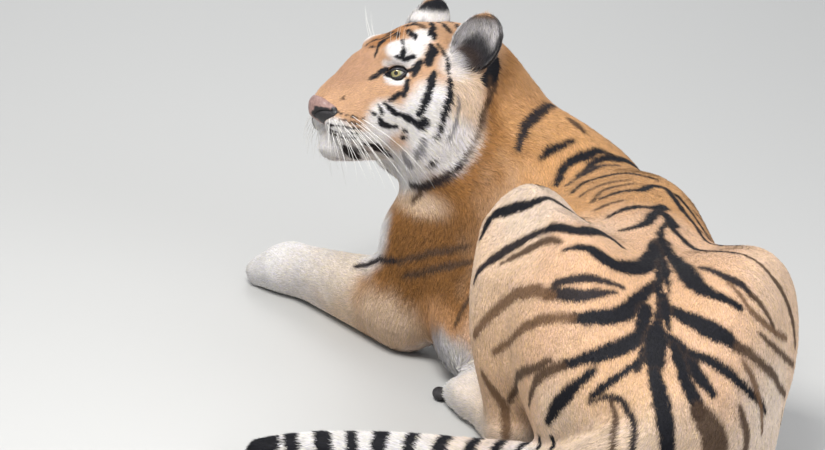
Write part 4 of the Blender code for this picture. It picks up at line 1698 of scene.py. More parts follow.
def flank_stripes() -> list[Stripe]:
    """Stripes down both flanks; the haunch hides most of the left one.

    Returns:
        The stripes, in cm.
    """
    rng = np.random.default_rng(SEED)
    found = []
    for side, rows in FLANK_ROWS.items():
        tone = Tone.BROWN if side < 0 else Tone.BLACK
        for row in rows:
            y = row + rng.uniform(-1, 1)
            lean = rng.uniform(-4, 1)
            low = rng.uniform(7, 13)
            width = rng.uniform(6, 11)
            start = (13 * side + 2, y + 2, 37)
            middle = (22 * side, y + lean / 2, 24 + rng.uniform(-2, 2))
            found.append(Stripe(tone, (3, width, 3), (start, middle, (24 * side, y + lean, low))))
            if rng.uniform() < 0.6:
                twin = (
                    (19 * side, y + 3, 31),
                    (23 * side, y + 3 + lean / 2, 20),
                    (22 * side, y + 1 + lean, 11),
                )
                found.append(Stripe(Tone.SOOT, (2, width * 0.6, 2), twin))
    return found


def leg_stripes() -> list[Stripe]:
    """Bars round the shins and on the inner side of the forelegs.

    Returns:
        The stripes, in cm.
    """
    bars = [
        ((x - 1, y - 1, high), (x, y, 11), (x + 1, y + 1, 6))
        for y, x, high in ((-50, 27, 15), (-42, 28, 17), (-34, 27, 15))
    ]
    for share in (0.25, 0.5, 0.75):
        x, y = 6 - 14 * share, 21 + 24 * share
        bars.append(((x + 4, y + 1, 11), (x + 6, y + 2, 8), (x + 7, y + 3, 3)))
        x, y = -36 - 18 * share, -2 + 21 * share
        bars.append(((x + 3, y + 4, 11), (x + 5, y + 5, 8), (x + 6, y + 6, 3)))
    return [Stripe(Tone.BROWN, (3, 5, 3), bar) for bar in bars]


def whisker_spots() -> list[tuple[Array, float]]:
    """Places of the dark spots where whiskers root, in the head's frame, with their radii.

    Returns:
        Place and radius of each, on the right side.
    """
    found = []
    for row in range(5):
        for number in range(7):
            share = number / 6
            x = 0.034 + 0.028 * share
            y = 0.119 + 0.002 * row - 0.044 * share
            z = -0.085 - 0.0088 * row - 0.002 * share
            found.append((np.array([x, y, z]), 0.0025 + 0.0005 * (number % 2)))
    return found


# ---------------------------------------------------------------- face


@dataclass
class Socket:
    """One eye's own frame and the almond between its lids, in metres on the eyeball.

    Attributes:
        head: The head's frame.
        side: Which eye.
        turn: Angle by which the eye looks outwards.
        inner: Inner corner, across and up.
        outer: Outer corner, across and up.
        upper: Height of the upper lid's bow.
        lower: Depth of the lower lid's bow.
    """

    head: HeadFrame
    side: Side
    turn: float = 0.86
    inner: tuple[float, float] = (-0.0185, -0.0052)
    outer: tuple[float, float] = (0.0165, 0.0034)
    upper: float = 0.0088
    lower: float = 0.0078

    def frame(self) -> Array:
        """Across (backwards), axis (outwards) and up, as rows in the model's frame."""
        s, c = math.sin(self.turn), math.cos(self.turn)
        return self.head.way(((c * self.side.value, -s, 0), (s * self.side.value, c, 0), (0, 0, 1)))

    def local(self, points: Array) -> Array:
        """Points as across, ahead and up from the eye's centre."""
        return (points - self.head.eyes[self.side]) @ self.frame().T

    def world(self, points: Array) -> Array:
        """Across, ahead and up as points in the model's frame."""
        return points @ self.frame() + self.head.eyes[self.side]

    def lids(self, across: Array) -> tuple[Array, Array]:
        """Heights of the lower and the upper lid at places across the eye.

        Args:
            across: Places across the eye.

        Returns:
            Height of the lower and of the upper lid at each.
        """
        share = np.clip((across - self.inner[0]) / (self.outer[0] - self.inner[0]), 0, 1)
        line = self.inner[1] + share * (self.outer[1] - self.inner[1])
        bow = np.sin(math.pi * share)
        return line - self.lower * bow**0.9, line + self.upper * bow**0.75

    def edge(self, count: int) -> Array:
        """The almond's outline, across and up.

        Args:
            count: How many points it has.

        Returns:
            Across and up for each point.
        """
        half = np.linspace(0, 1, count // 2, endpoint=False)
        swing = (1 - np.cos(math.pi * half)) / 2
        wide = self.outer[0] - self.inner[0]
        there = self.inner[0] + wide * swing
        back = self.outer[0] - wide * swing
        top = np.stack([there, self.lids(there)[1]], axis=1)
        bottom = np.stack([back, self.lids(back)[0]], axis=1)
        return np.vstack([top, bottom])

    def on_ball(self, flat: Array, radius: float) -> Array:
        """Across and up lifted onto a ball round the eye's centre, in the model's frame."""
        ahead = np.sqrt(np.maximum(radius**2 - (flat**2).sum(1), 1e-8))
        return self.world(np.stack([flat[:, 0], ahead, flat[:, 1]], axis=1))


# Half of the mouth's line in the head's frame, in mm.
MOUTH = (
    (0, 114, -111), (14, 121, -118), (30, 121, -126), (43, 108, -131),
    (52, 88, -136), (57, 66, -140), (59, 46, -143),
)


@dataclass
class Face:
    """Shapes lids, mouth line and whisker pads into the skin.

    Attributes:
        head: The head's frame.
        lid: Thickness of the lids over the ball.
        tuck: How far the skin draws back behind the ball's front.
        mouth_deep: Depth of the mouth's groove.
        mouth_wide: Its width.
        pad_bulge: Height of the whisker pads.
    """

    head: HeadFrame
    lid: float = 0.0012
    tuck: float = 0.0045
    mouth_deep: float = 0.0055
    mouth_wide: float = 0.0050
    pad_bulge: float = 0.0035

    def refine(self, obj: bpy.types.Object) -> None:
        """Adds vertices round the eyes, the nose and the mouth.

        Args:
            obj: The skin.
        """
        body = bmesh.new()
        body.from_mesh(obj.data)
        points = np.array([vert.co for vert in body.verts])
        near = np.zeros(len(points), bool)
        for side in Side:
            near |= np.linalg.norm(points - self.head.eyes[side], axis=1) < 0.027
        for spot in self.mouth_line(4):
            near |= np.linalg.norm(points - spot, axis=1) < 0.0075
        edges = [edge for edge in body.edges if near[edge.verts[0].index] and near[edge.verts[1].index]]
        bmesh.ops.subdivide_edges(body, edges=edges, cuts=1, use_grid_fill=True)
        bmesh.ops.triangulate(body, faces=[face for face in body.faces if len(face.verts) > 3])
        body.to_mesh(obj.data)
        body.free()

    def shape(self, obj: bpy.types.Object) -> None:
        """Moves the skin's vertices into the face's fine forms.

        Args:
            obj: The skin.
        """
        points, normals = coords(obj), normals_of(obj)
        points = self.open_mouth(points, normals)
        points = self.fill_pads(points, normals)
        for side in Side:
            points = self.fold_lids(points, Socket(self.head, side))
        place(obj, points)

    def open_mouth(self, points: Array, normals: Array) -> Array:
        """Cuts the mouth's line as a groove.

        Args:
            points: Vertices of the skin.
            normals: Their normals.

        Returns:
            The new vertices.
        """
        deep = np.zeros(len(points))
        for spot in self.mouth_line(6):
            off = np.linalg.norm(points - spot, axis=1)
            deep = np.maximum(deep, ramp(self.mouth_wide * 1.5, self.mouth_wide * 0.2, off))
        return points - normals * (self.mouth_deep * deep)[:, None]

    def mouth_line(self, fine: int) -> Array:
        """Places along both halves of the mouth, with `fine` steps between each two of its points."""
        half = smooth_line(np.array(MOUTH), fine) * MM
        return self.head.world(np.vstack([half, half * (-1, 1, 1)]))

    def fill_pads(self, points: Array, normals: Array) -> Array:
        """Swells the whisker pads.

        Args:
            points: Vertices of the skin.
            normals: Their normals.

        Returns:
            The new vertices.
        """
        local = self.head.local(points) / MM
        for mirror in (1, -1):
            reach = np.linalg.norm((local - (34 * mirror, 96, -102)) / (26, 34, 17), axis=1)
            points = points + normals * (self.pad_bulge * ramp(1.0, 0.2, reach))[:, None]
        return points

    def fold_lids(self, points: Array, socket: Socket) -> Array:
        """Lays the lids on the ball and opens the almond between them.

        Args:
            points: Vertices of the skin.
            socket: The eye's frame.

        Returns:
            The new vertices.
        """
        local = socket.local(points)
        far = np.linalg.norm(local, axis=1)
        radius = self.head.eye_radius
        low, high = socket.lids(local[:, 0])
        within = (local[:, 0] > socket.inner[0]) & (local[:, 0] < socket.outer[0])
        inside = within & (local[:, 2] > low) & (local[:, 2] < high)
        near = (far < radius + 0.016) & (local[:, 1] > 0.001)
        target = np.where(inside, radius - self.tuck, np.maximum(far, radius + self.lid))
        new = socket.world(local * (target / np.maximum(far, 1e-6))[:, None])
        return np.where(near[:, None], new, points)


def tube(line: Array, radii: Array, sides: int, closed: bool) -> Mesh:
    """A tube along a line.

    Args:
        line: Points of its middle.
        radii: Radius at each.
        sides: Sides of its section.
        closed: Whether its end joins its start.

    Returns:
        Points and triangles.
    """
    count = len(line)
    ahead = unit(np.roll(line, -1, axis=0) - np.roll(line, 1, axis=0))
    if not closed:
        ahead[0], ahead[-1] = unit(line[1] - line[0]), unit(line[-1] - line[-2])
    guide = np.array([0.31, 0.27, 0.91])
    across = unit(np.cross(ahead, guide))
    over = np.cross(across, ahead)
    angle = np.linspace(0, 2 * math.pi, sides, endpoint=False)
    ring = np.cos(angle)[None, :, None] * across[:, None] + np.sin(angle)[None, :, None] * over[:, None]
    points = (line[:, None] + ring * np.asarray(radii)[:, None, None]).reshape(-1, 3)
    faces = []
    for k in range(count if closed else count - 1):
        for j in range(sides):
            a, b = k * sides + j, k * sides + (j + 1) % sides
            c, d = ((k + 1) % count) * sides + j, ((k + 1) % count) * sides + (j + 1) % sides
            faces += [(a, b, d), (a, d, c)]
    if not closed:
        ends = len(points)
        points = np.vstack([points, line[:1], line[-1:]])
        last = (count - 1) * sides
        for j in range(sides):
            faces.append((ends, (j + 1) % sides, j))
            faces.append((ends + 1, last + j, last + (j + 1) % sides))
    return points, np.array(faces)


def join_tubes(name: str, tubes: Sequence[Mesh]) -> bpy.types.Object:
    """One piece of several tubes.

    Args:
        name: The piece's name.
        tubes: Points and triangles of each tube.

    Returns:
        The piece.
    """
    obj = mesh_piece(name, *stacked(tubes))
    face_outwards(obj)
    soft_shade(obj)
    return obj


IRIS_INNER = np.array((0.34, 0.27, 0.10))
IRIS_OUTER = np.array((0.27, 0.26, 0.13))
IRIS_EDGE = np.array((0.05, 0.04, 0.02))
EYE_WHITE = np.array((0.13, 0.095, 0.070))
PUPIL = np.array((0.004, 0.004, 0.004))


@dataclass
class Eyes:
    """Eyeballs with iris and pupil, and the black rims of the lids.

    Attributes:
        head: The head's frame.
        iris: Radius of the iris.
        pupil: Radius of the pupil.
        bulge: Height of the cornea.
        lift: How far up the eye looks, as a share of its radius.
    """

    head: HeadFrame
    iris: float = 0.0108
    pupil: float = 0.0038
    bulge: float = 0.0012
    lift: float = 0.03

    def build(self) -> None:
        """Makes both eyes."""
        for side in Side:
            self.ball(side)
            self.rim(side)

    def ball(self, side: Side) -> None:
        """One eyeball, its pole on the axis that it looks along.

        Args:
            side: Which eye.
        """
        socket = Socket(self.head, side)
        radius = self.head.eye_radius - 0.0002
        bpy.ops.object.select_all(action="DESELECT")
        bpy.ops.mesh.primitive_uv_sphere_add(segments=96, ring_count=96, radius=radius)
        obj = bpy.context.object
        obj.name = f"eyeball_{side.word}"
        points = coords(obj)
        off = np.hypot(points[:, 0], points[:, 1])
        front = points[:, 2] > 0
        round_part = np.clip(1 - (off / (self.iris * 1.08)) ** 2, 0, 1) * front
        points[:, 2] += self.bulge * round_part
        colour_points(obj, self.colours(socket, points, off, front))
        points = points[:, (0, 2, 1)] * (-1, 1, 1)
        points[:, 2] += self.lift * points[:, 1] * round_part
        place(obj, socket.world(points))
        face_outwards(obj)
        soft_shade(obj)
        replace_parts(hang(obj, EyeFinish().make()), f"eye_{side.word}")

    def colours(self, socket: Socket, points: Array, off: Array, front: Array) -> Array:
        """Colours of the ball from the distance to its axis, black where the lids begin, as painted shade
        under them.

        Args:
            socket: The eye's frame.
            points: Vertices of the ball, with its axis along Z.
            off: Their distance to the axis.
            front: Whether they lie on its front half.

        Returns:
            A colour per vertex.
        """
        angle = np.arctan2(points[:, 1], points[:, 0])
        fibre = 0.10 * np.sin(31 * angle + 3 * np.sin(5 * angle)) + 0.08 * np.sin(73 * angle)
        iris = toned(IRIS_INNER, IRIS_OUTER, ramp(self.pupil, self.iris * 0.75, off)) * (1 + fibre[:, None])
        iris = toned(iris, IRIS_EDGE, ramp(self.iris * 0.84, self.iris * 0.98, off))
        found = toned(iris, EYE_WHITE, ramp(self.iris * 0.98, self.iris * 1.06, off))
        found = toned(found, PUPIL, ramp(self.pupil * 1.12, self.pupil * 0.92, off))
        low, high = socket.lids(-points[:, 0])
        beyond = np.maximum(socket.inner[0] + points[:, 0], -points[:, 0] - socket.outer[0])
        past_lid = np.maximum(np.maximum(low - points[:, 1], points[:, 1] - high), beyond)
        # Painted shade: the ball goes black under the lids and on its back half.
        lid_shade = np.maximum(ramp(-0.0008, 0.0006, past_lid), 1.0 - front)
        return np.clip(toned(found, Tone.BLACK.rgb, lid_shade), 0, 1)

    def rim(self, side: Side) -> None:
        """The black rim round the almond, thickest at the inner corner.

        Args:
            side: Which eye.
        """
        socket = Socket(self.head, side)
        edge = socket.edge(120)
        line = socket.on_ball(edge, self.head.eye_radius + 0.0006)
        inner = ramp(0.6 * socket.inner[0], socket.inner[0], edge[:, 0])
        radii = 0.0018 + 0.0010 * inner + 0.0007 * (edge[:, 1] > 0)
        obj = join_tubes(f"eye_rim_{side.word}", [tube(line, radii, 10, True)])
        rng = np.random.default_rng(SEED)
        shade = Tone.BLACK.rgb * rng.uniform(0.7, 1.6, (len(obj.data.vertices), 1))
        colour_points(obj, shade)
        hang(obj, LeatherFinish("lid_hide", rough=0.3, grain=1400, bump=0.0002, wet=0.3).make())


# Angle from the middle and height of the pad's edge in the head's frame, and of a nostril's line.
NOSE_OUTLINE = (
    (0.00, -0.0610), (0.42, -0.0625), (0.80, -0.0690), (1.06, -0.0760), (1.10, -0.0820), (0.92, -0.0890),
    (0.62, -0.0960), (0.34, -0.1020), (0.16, -0.1060), (0.00, -0.1085),
)
NOSTRIL = ((0.20, -0.0890), (0.33, -0.0845), (0.58, -0.0805), (0.90, -0.0795))


@dataclass
class Nose:
    """The bare nose pad, wrapped round the muzzle's front, with its nostrils.

    Attributes:
        head: The head's frame.
        axis: How far ahead the upright axis of the wrap stands.
        reach: Usual distance from that axis to the pad.
        proud: Height of the pad over the skin.
        thick: Its thickness.
        deep: Depth of the nostrils.
    """

    head: HeadFrame
    axis: float = 0.095
    reach: float = 0.046
    proud: float = 0.0016
    thick: float = 0.004
    deep: float = 0.0052

    def half_turn(self, height: Array) -> Array:
        """Angle from the middle to the pad's edge at each height."""
        line = smooth_line(np.array(NOSE_OUTLINE), 10)[::-1]
        return np.interp(height, line[:, 1], np.maximum(line[:, 0], 0.0))

    def covers(self, points: Array) -> Array:
        """Whether places on the skin lie under the pad.

        Args:
            points: Places on the skin.

        Returns:
            Whether each lies under the pad.
        """
        local = self.head.local(points)
        angle = np.abs(np.arctan2(local[:, 0], local[:, 1] - self.axis))
        level = (local[:, 2] < NOSE_OUTLINE[0][1]) & (local[:, 2] > NOSE_OUTLINE[-1][1])
        return level & (local[:, 1] > self.axis) & (angle < 0.95 * self.half_turn(local[:, 2]))

    def build(self, tree: BVHTree) -> None:
        """Makes the pad from a grid.

        Args:
            tree: The skin that it wraps.
        """
        bpy.ops.object.select_all(action="DESELECT")
        bpy.ops.mesh.primitive_grid_add(x_subdivisions=104, y_subdivisions=64, size=2)
        obj = bpy.context.object
        obj.name = "nose_pad"
        grid = coords(obj)[:, :2]
        top, bottom = NOSE_OUTLINE[0][1], NOSE_OUTLINE[-1][1]
        height = (top + bottom) / 2 + grid[:, 1] * (top - bottom) / 2 * 0.995
        angle = grid[:, 0] * np.maximum(self.half_turn(height), 0.01)
        ways = np.stack([np.sin(angle), np.cos(angle), np.zeros(len(angle))], axis=1)
        hearts = np.stack([np.zeros(len(angle)), np.full(len(angle), self.axis), height], axis=1)
        starts = self.head.world(hearts + ways * 0.2)
        inward = -self.head.way(ways)
        far = [tree.ray_cast(start, way)[3] for start, way in zip(starts.tolist(), inward.tolist())]
        radius = np.array([self.reach if hit is None else 0.2 - hit for hit in far])
        radius = spread(radius[:, None], edges_of(obj), 10, 0.5)[:, 0]
        edge = np.maximum(np.abs(grid[:, 0]) ** 5, np.abs(grid[:, 1]) ** 9)
        radius += self.proud - 2.2 * self.proud * edge
        off = self.from_nostril(angle, height)
        radius -= self.deep * ramp(0.0042, 0.0012, off)
        groove = ramp(0.0020, 0.0004, np.abs(angle) * self.reach) * ramp(-0.084, -0.092, height)
        radius -= 0.0016 * groove
        colour_points(obj, self.colours(angle, height, off, groove))
        place(obj, self.head.world(hearts + ways * radius[:, None]))
        wall = obj.modifiers.new("wall", "SOLIDIFY")
        wall.thickness = self.thick
        wall.offset = -1
        apply_modifiers(obj)
        face_outwards(obj)
        soft_shade(obj)
        hang(obj, LeatherFinish("nose_hide", wet=0.2).make())

    def from_nostril(self, angle: Array, height: Array) -> Array:
        """Distance to the nearer nostril's line.

        Args:
            angle: Angles round the axis.
            height: Heights in the head's frame.

        Returns:
            One distance per place.
        """
        line = smooth_line(np.array(NOSTRIL), 10)
        off = np.full(len(angle), np.inf)
        for turn, level in line:
            off = np.minimum(off, np.hypot((np.abs(angle) - turn) * self.reach, height - level))
        return off

    def colours(self, angle: Array, height: Array, off: Array, groove: Array) -> Array:
        """Pink-brown leather, black round the nostrils and on the wings.

        Args:
            angle: The vertices' angles round the axis.
            height: Their heights.
            off: Their distance to a nostril's line.
            groove: How deep they lie in the groove between the nostrils, from 0 to 1.

        Returns:
            A colour per vertex.
        """
        flat = np.stack([angle * self.reach, height, 0 * height], axis=1)
        rough = 0.0006 * Ripple(0.006, 42).at(flat)
        pink = np.array((0.37, 0.225, 0.195)) * (1 + 0.12 * Ripple(0.007, 41).at(flat))[:, None]
        wing = ramp(0.20, 0.27, np.abs(angle)) * ramp(-0.0735, -0.0755, height + rough)
        share = np.maximum(ramp(0.0062, 0.0042, off + rough), wing)
        return toned(pink, np.array((0.012, 0.010, 0.012)), np.maximum(share, 0.7 * groove))


@dataclass(frozen=True)
class Hair:
    """One whisker on the right side; the left one mirrors it.

    Attributes:
        root: Where it grows, in the head's frame.
        first: Direction at its root.
        last: Direction at its tip.
        length: Its length.
        thick: Its radius at the root.
    """

    root: Array
    first: Array
    last: Array
    length: float
    thick: float

    def grown(self, head: HeadFrame, side: Side, tree: BVHTree) -> Mesh:
        """The hair on one side.

        Args:
            head: The head's frame.
            side: The side.
            tree: The skin that it roots in.

        Returns:
            Points and triangles.
        """
        mirror = np.array((side.value, 1, 1))
        root = head.world(self.root * mirror)
        first, last = (unit(head.way(way * mirror)) for way in (self.first, self.last))
        start = np.array(tree.find_nearest(root.tolist())[0]) - 0.001 * first
        count = 14
        share = np.linspace(0, 1, count)[:, None]
        ways = unit(first + share**1.3 * (last - first))
        steps = np.cumsum(ways[:-1] * self.length / (count - 1), axis=0)
        line = start + np.vstack([np.zeros(3), steps])
        return tube(line, self.thick * (1 - 0.85 * share[:, 0]), 5, False)


@dataclass
class Whiskers:
    """White whiskers on both pads, and a few long hairs over the eyes.

    Attributes:
        head: The head's frame.
        longest: Length of the longest.
        thick: Radius at the root on the pads.
        brow_thick: Radius at the root over the eyes.
        missing: Share of the pads' whiskers left out.
    """

    head: HeadFrame
    longest: float = 0.185
    thick: float = 0.00055
    brow_thick: float = 0.00035
    missing: float = 0.15

    def build(self, tree: BVHTree) -> None:
        """Makes both sides.

        Args:
            tree: The skin, which the hairs root in.
        """
        for side in Side:
            rng = np.random.default_rng(SEED + side.value)
            hairs = self.pad_hairs(rng) + self.brow_hairs(rng)
            tubes = [hair.grown(self.head, side, tree) for hair in hairs]
            obj = join_tubes(f"whiskers_{side.word}", tubes)
            shade = np.array((0.90, 0.88, 0.84)) * rng.uniform(0.9, 1.0, (len(obj.data.vertices), 1))
            colour_points(obj, shade)
            hang(obj, FurFinish("whisker_hair", rough=0.4, sheen=0.0, uneven=0.08).make())

    def pad_hairs(self, rng: np.random.Generator) -> list[Hair]:
        """The whiskers of a pad, longer towards the back.

        Args:
            rng: Source of chance.

        Returns:
            The whiskers.
        """
        found = []
        for number, (spot, _) in enumerate(whisker_spots()):
            row, place_in_row = divmod(number, 7)
            if (row == 0 and place_in_row < 4) or rng.uniform() < self.missing:
                continue
            back = place_in_row / 6
            first = np.array([0.80, 0.20 - 0.95 * back, -0.40 - 0.10 * row]) + rng.normal(0, 0.07, 3)
            last = np.array([0.12, -0.08 - 0.45 * back, -1.0]) + rng.normal(0, 0.10, 3)
            length = self.longest * (0.35 + 0.65 * back) * rng.uniform(0.75, 1.05) * (1 - 0.05 * row)
            found.append(Hair(spot, first, last, length, self.thick))
        return found

    def brow_hairs(self, rng: np.random.Generator) -> list[Hair]:
        """The long hairs over one eye.

        Args:
            rng: Source of chance.

        Returns:
            The hairs.
        """
        found = []
        for k in range(5):
            spot = np.array([0.046 + 0.004 * k, 0.022 - 0.004 * k, 0.040])
            first = np.array([0.25, 0.35, 1.0]) + rng.normal(0, 0.12, 3)
            last = np.array([0.45, -0.1, 1.0]) + rng.normal(0, 0.12, 3)
            found.append(Hair(spot, first, last, rng.uniform(0.045, 0.075), self.brow_thick))
        return found


@dataclass
class Pads:
    """Black pads under the toes, where they show past the fur.

    Attributes:
        places: The animal's directions.
        radius: Half length of a toe's pad on the forefeet.
        half_wide: Half its width.
        half_high: Half its height.
        tuck: How far behind the toes' tips they lie, for fore and hind feet.
        size: Their size against the forefeet's, which lie under long fur.
    """

    places: Places
    radius: float = 0.0115
    half_wide: float = 0.0085
    half_high: float = 0.0075
    tuck: dict[str, float] = field(default_factory=lambda: {"fore": 0.058, "hind": 0.002})
    size: dict[str, float] = field(default_factory=lambda: {"fore": 1.0, "hind": 1.55})

    def build(self) -> None:
        """Makes the pads of all four feet."""
        finish = LeatherFinish("pad_hide", rough=0.5, grain=500, bump=0.0006).make()
        for name, lie in LIE.items():
            if name.startswith(("forepaw", "hind_foot")):
                self.foot(name, unit(np.array(lie) * (1, 1, 0)), finish)

    def foot(self, name: str, ahead: Array, finish: bpy.types.Material) -> None:
        """The toe pads of one foot, joined.

        Args:
            name: The foot's node.
            ahead: The way its toes point along the floor.
            finish: The pads' material.
        """
        low, high = (np.array(corner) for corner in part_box(name))
        right = np.array([ahead[1], -ahead[0], 0])
        middle = (low + high) / 2
        reach = np.abs((high - low)[:2] / 2) @ np.abs(ahead[:2])
        parts = []
        size = self.size[name[:4]]
        for number, across in enumerate((-0.031, -0.011, 0.011, 0.031)):
            forward = reach - self.tuck[name[:4]] - 0.010 * size * (number in (0, 3))
            centre = middle + ahead * forward + right * across * size
            bpy.ops.object.select_all(action="DESELECT")
            bpy.ops.mesh.primitive_uv_sphere_add(segments=32, ring_count=20, radius=1)
            part = bpy.context.object
            points = coords(part)
            wide, long, high = points.T[:, :, None]
            points = wide * right * self.half_wide + long * ahead * self.radius
            points += high * (0, 0, self.half_high)
            points = points * size + (centre[0], centre[1], 0.0003 + self.half_high * size)
            place(part, points)
            parts.append(part)
        obj = join(parts, f"toe_pads_{name}")
        spots = coords(obj)
        shade = np.array((0.030, 0.026, 0.028)) * (1 + 0.4 * Ripple(0.01, 51).at(spots))[:, None]
        colour_points(obj, np.clip(shade, 0.005, 1))
        face_outwards(obj)
        soft_shade(obj)
        hang(obj, finish)


# ---------------------------------------------------------------- coat

REGIONS = {
    "coat_head": ("orange_coat", ("head", "ear")),
    "coat_neck": ("orange_coat", ("neck",)),
    "coat_chest": ("orange_coat", ("chest", "upper_arm")),
    "coat_belly": ("orange_coat", ("belly",)),
    "coat_rump": ("orange_coat", ("rump",)),
    "coat_thighs": ("orange_coat", ("thigh",)),
    "coat_forelegs": ("pale_coat", ("forearm", "forepaw")),
    "coat_feet": ("pale_coat", ("hind_foot",)),
    "coat_tail": ("ringed_coat", ("tail",)),
}
LONG_TUFT = 0.019  # from here on a tuft bends
SHORT_FACES, LONG_FACES = 4, 10  # triangles of a straight and of a bent tuft
GROUND_GAP = 0.004
COAT_TRIANGLES = 1_480_000
MOST_TRIANGLES = 190_000  # of one piece


@dataclass
class Tufts:
    """Roots of many tufts and what grows from each.

    Attributes:
        roots: Places on the skin.
        normals: The skin's normals there.
        lie: Directions of the hair.
        colours: Their colours.
        length: Their lengths.
        width: Their widths at the root.
        rise: How steeply they stand, as a sine.
        maps: Their places on the region's map.
    """

    roots: Array
    normals: Array
    lie: Array
    colours: Array
    length: Array
    width: Array
    rise: Array
    maps: Array

    def part(self, chosen: Array) -> "Tufts":
        """The tufts that a mask or an order picks."""
        return Tufts(*(value[chosen] for value in vars(self).values()))

    def __len__(self) -> int:
        """How many tufts."""
        return len(self.roots)

    def triangles(self) -> Array:
        """How many triangles each takes."""
        return np.where(self.length > LONG_TUFT, LONG_FACES, SHORT_FACES)


@dataclass
class Coat:
    """The coat, as closed tufts joined into one mesh for each region.

    Attributes:
        skin: What it grows on.
        hide: What grows where.
        painter: Its colours.
        root_shade: Painted shade at the root: the factor on a tuft's colour there, darker as if deep in the
            coat.
        tip_shade: Brightness at the tip.
        thinning: Factor on all gaps, found from the triangles that the coat may have.
        rng: Source of all chance in it.
    """

    skin: Skin
    hide: Hide
    painter: Painter
    root_shade: float = 0.80
    tip_shade: float = 1.12
    thinning: float = 1.0
    rng: np.random.Generator = field(default_factory=lambda: np.random.default_rng(SEED))

    def grow(self) -> None:
        """Grows every region."""
        points = coords(self.skin.obj)
        normals = normals_of(self.skin.obj)
        faces = triangles_of(self.skin.obj)
        owner = np.array(self.skin.zones)[self.skin.zone[faces[:, 0]]]
        finish = FurFinish("coat_hair").make()
        self.set_thinning(points, faces)
        for name, (slot, parts) in REGIONS.items():
            mine = np.array([zone.startswith(parts) for zone in owner])
            mine &= self.clear_of_ground(points[faces].mean(axis=1), normals[faces].mean(axis=1))
            maps = self.unwrap(mine)
            tufts = self.sow(points, normals, faces[mine], maps)
            for number, piece in enumerate(self.shares(tufts)):
                hang(self.knit(f"{name}_{number + 1}", piece), finish)

    def set_thinning(self, points: Array, faces: Array) -> None:
        """Widens all gaps alike, so that the whole coat keeps to its triangles.

        Args:
            points: Vertices of the skin.
            faces: Its triangles.
        """
        area = areas(points[faces])
        values = self.hide.values[faces].mean(axis=1)
        each = np.where(values[:, LENGTH] > LONG_TUFT, LONG_FACES, SHORT_FACES)
        cost = each * area / values[:, GAP] ** 2
        self.thinning = math.sqrt(cost.sum() / COAT_TRIANGLES)
        LOG.info("coat gaps times %.3f", self.thinning)

    def clear_of_ground(self, middles: Array, normals: Array) -> Array:
        """Whether a face is neither flat on the floor nor hidden in a socket.

        Args:
            middles: Middles of the faces.
            normals: Their normals.

        Returns:
            Whether tufts may grow on each.
        """
        down = (middles[:, 2] < GROUND_GAP) & (normals[:, 2] < -0.6)
        hidden = np.zeros(len(middles), bool)
        for side in Side:
            socket = Socket(self.skin.places.head, side)
            local = socket.local(middles)
            low, high = socket.lids(local[:, 0])
            within = (local[:, 0] > socket.inner[0] - 0.002) & (local[:, 0] < socket.outer[0] + 0.001)
            open_part = within & (local[:, 2] > low - 0.0014) & (local[:, 2] < high + 0.0014)
            hidden |= open_part & (np.linalg.norm(local, axis=1) < 0.026)
        hidden |= Nose(self.skin.places.head).covers(middles)
        return ~(down | hidden)

    def unwrap(self, mine: Array) -> Array:
        """Unwraps one region of the skin by its own shape.

        Args:
            mine: Which of the skin's faces belong to it.

        Returns:
            The three corners' places on the map, for each of those faces.
        """
        obj = self.skin.obj
        mesh = obj.data
        layer = mesh.uv_layers.new(name="region")
        mesh.uv_layers.active = layer
        select_faces(obj, mine)
        with editing(obj, None):
            bpy.ops.uv.smart_project(angle_limit=STEEPEST, island_margin=0.008)
        layer = mesh.uv_layers["region"]
        found = np.empty(len(mesh.loops) * 2, np.float32)
        layer.uv.foreach_get("vector", found)
        mesh.uv_layers.remove(layer)
        return found.reshape(-1, 3, 2)[mine]

    def sow(self, points: Array, normals: Array, faces: Array, maps: Array) -> Tufts:
        """Spreads roots over faces and reads what grows there.

        Args:
            points: Vertices of the skin.
            normals: Their normals.
            faces: The region's triangles.
            maps: Their corners' places on the region's map.

        Returns:
            The region's tufts.
        """
        area = areas(points[faces])
        gap = self.hide.values[faces, GAP].mean(axis=1) * self.thinning
        total = np.concatenate([[0], np.cumsum(area / gap**2)])
        count = int(total[-1])
        steps = np.arange(count) + self.rng.uniform(0, 1, count)
        chosen = np.clip(np.searchsorted(total, steps, side="right") - 1, 0, len(faces) - 1)
        a, b = self.rng.uniform(0, 1, (2, count))
        fold = a + b > 1
        a, b = np.where(fold, 1 - a, a), np.where(fold, 1 - b, b)
        weights = np.stack([1 - a - b, a, b], axis=1)[:, :, None]
        corners = faces[chosen]
        roots = (points[corners] * weights).sum(axis=1)
        up = unit((normals[corners] * weights).sum(axis=1))
        lie = (self.hide.lie[corners] * weights).sum(axis=1)
        lie = flat_part(lie + self.rng.normal(0, 0.16, lie.shape), up)
        values = (self.hide.values[corners] * weights).sum(axis=1)
        ragged = self.rng.normal(0, 0.0009, count)
        seen = roots + lie * (0.5 * values[:, LENGTH, None])
        colours = self.painter.paint(seen, values[:, :LENGTH], ragged)
        inner = (self.hide.inner_ear[corners] * weights[:, :, 0]).sum(axis=1)
        uneven = 0.07 + 0.30 * inner
        colours = colours * (1 + (uneven * self.rng.normal(size=count))[:, None])
        dark = (self.rng.uniform(size=count) < 0.22) * ramp(0.36, 0.16, values[:, 1])
        colours *= (1 - 0.42 * dark)[:, None]
        colours[:, 2] *= 1 + 0.08 * self.rng.normal(size=count)
        length = values[:, LENGTH] * self.rng.uniform(0.7, 1.2, count)
        width = values[:, WIDTH] * self.rng.uniform(0.75, 1.25, count)
        rise = values[:, RISE] * self.rng.uniform(0.5, 1.35, count)
        at = (maps[chosen] * weights).sum(axis=1)
        return Tufts(roots, up, lie, np.clip(colours, 0.002, 0.95), length, width, rise, at)

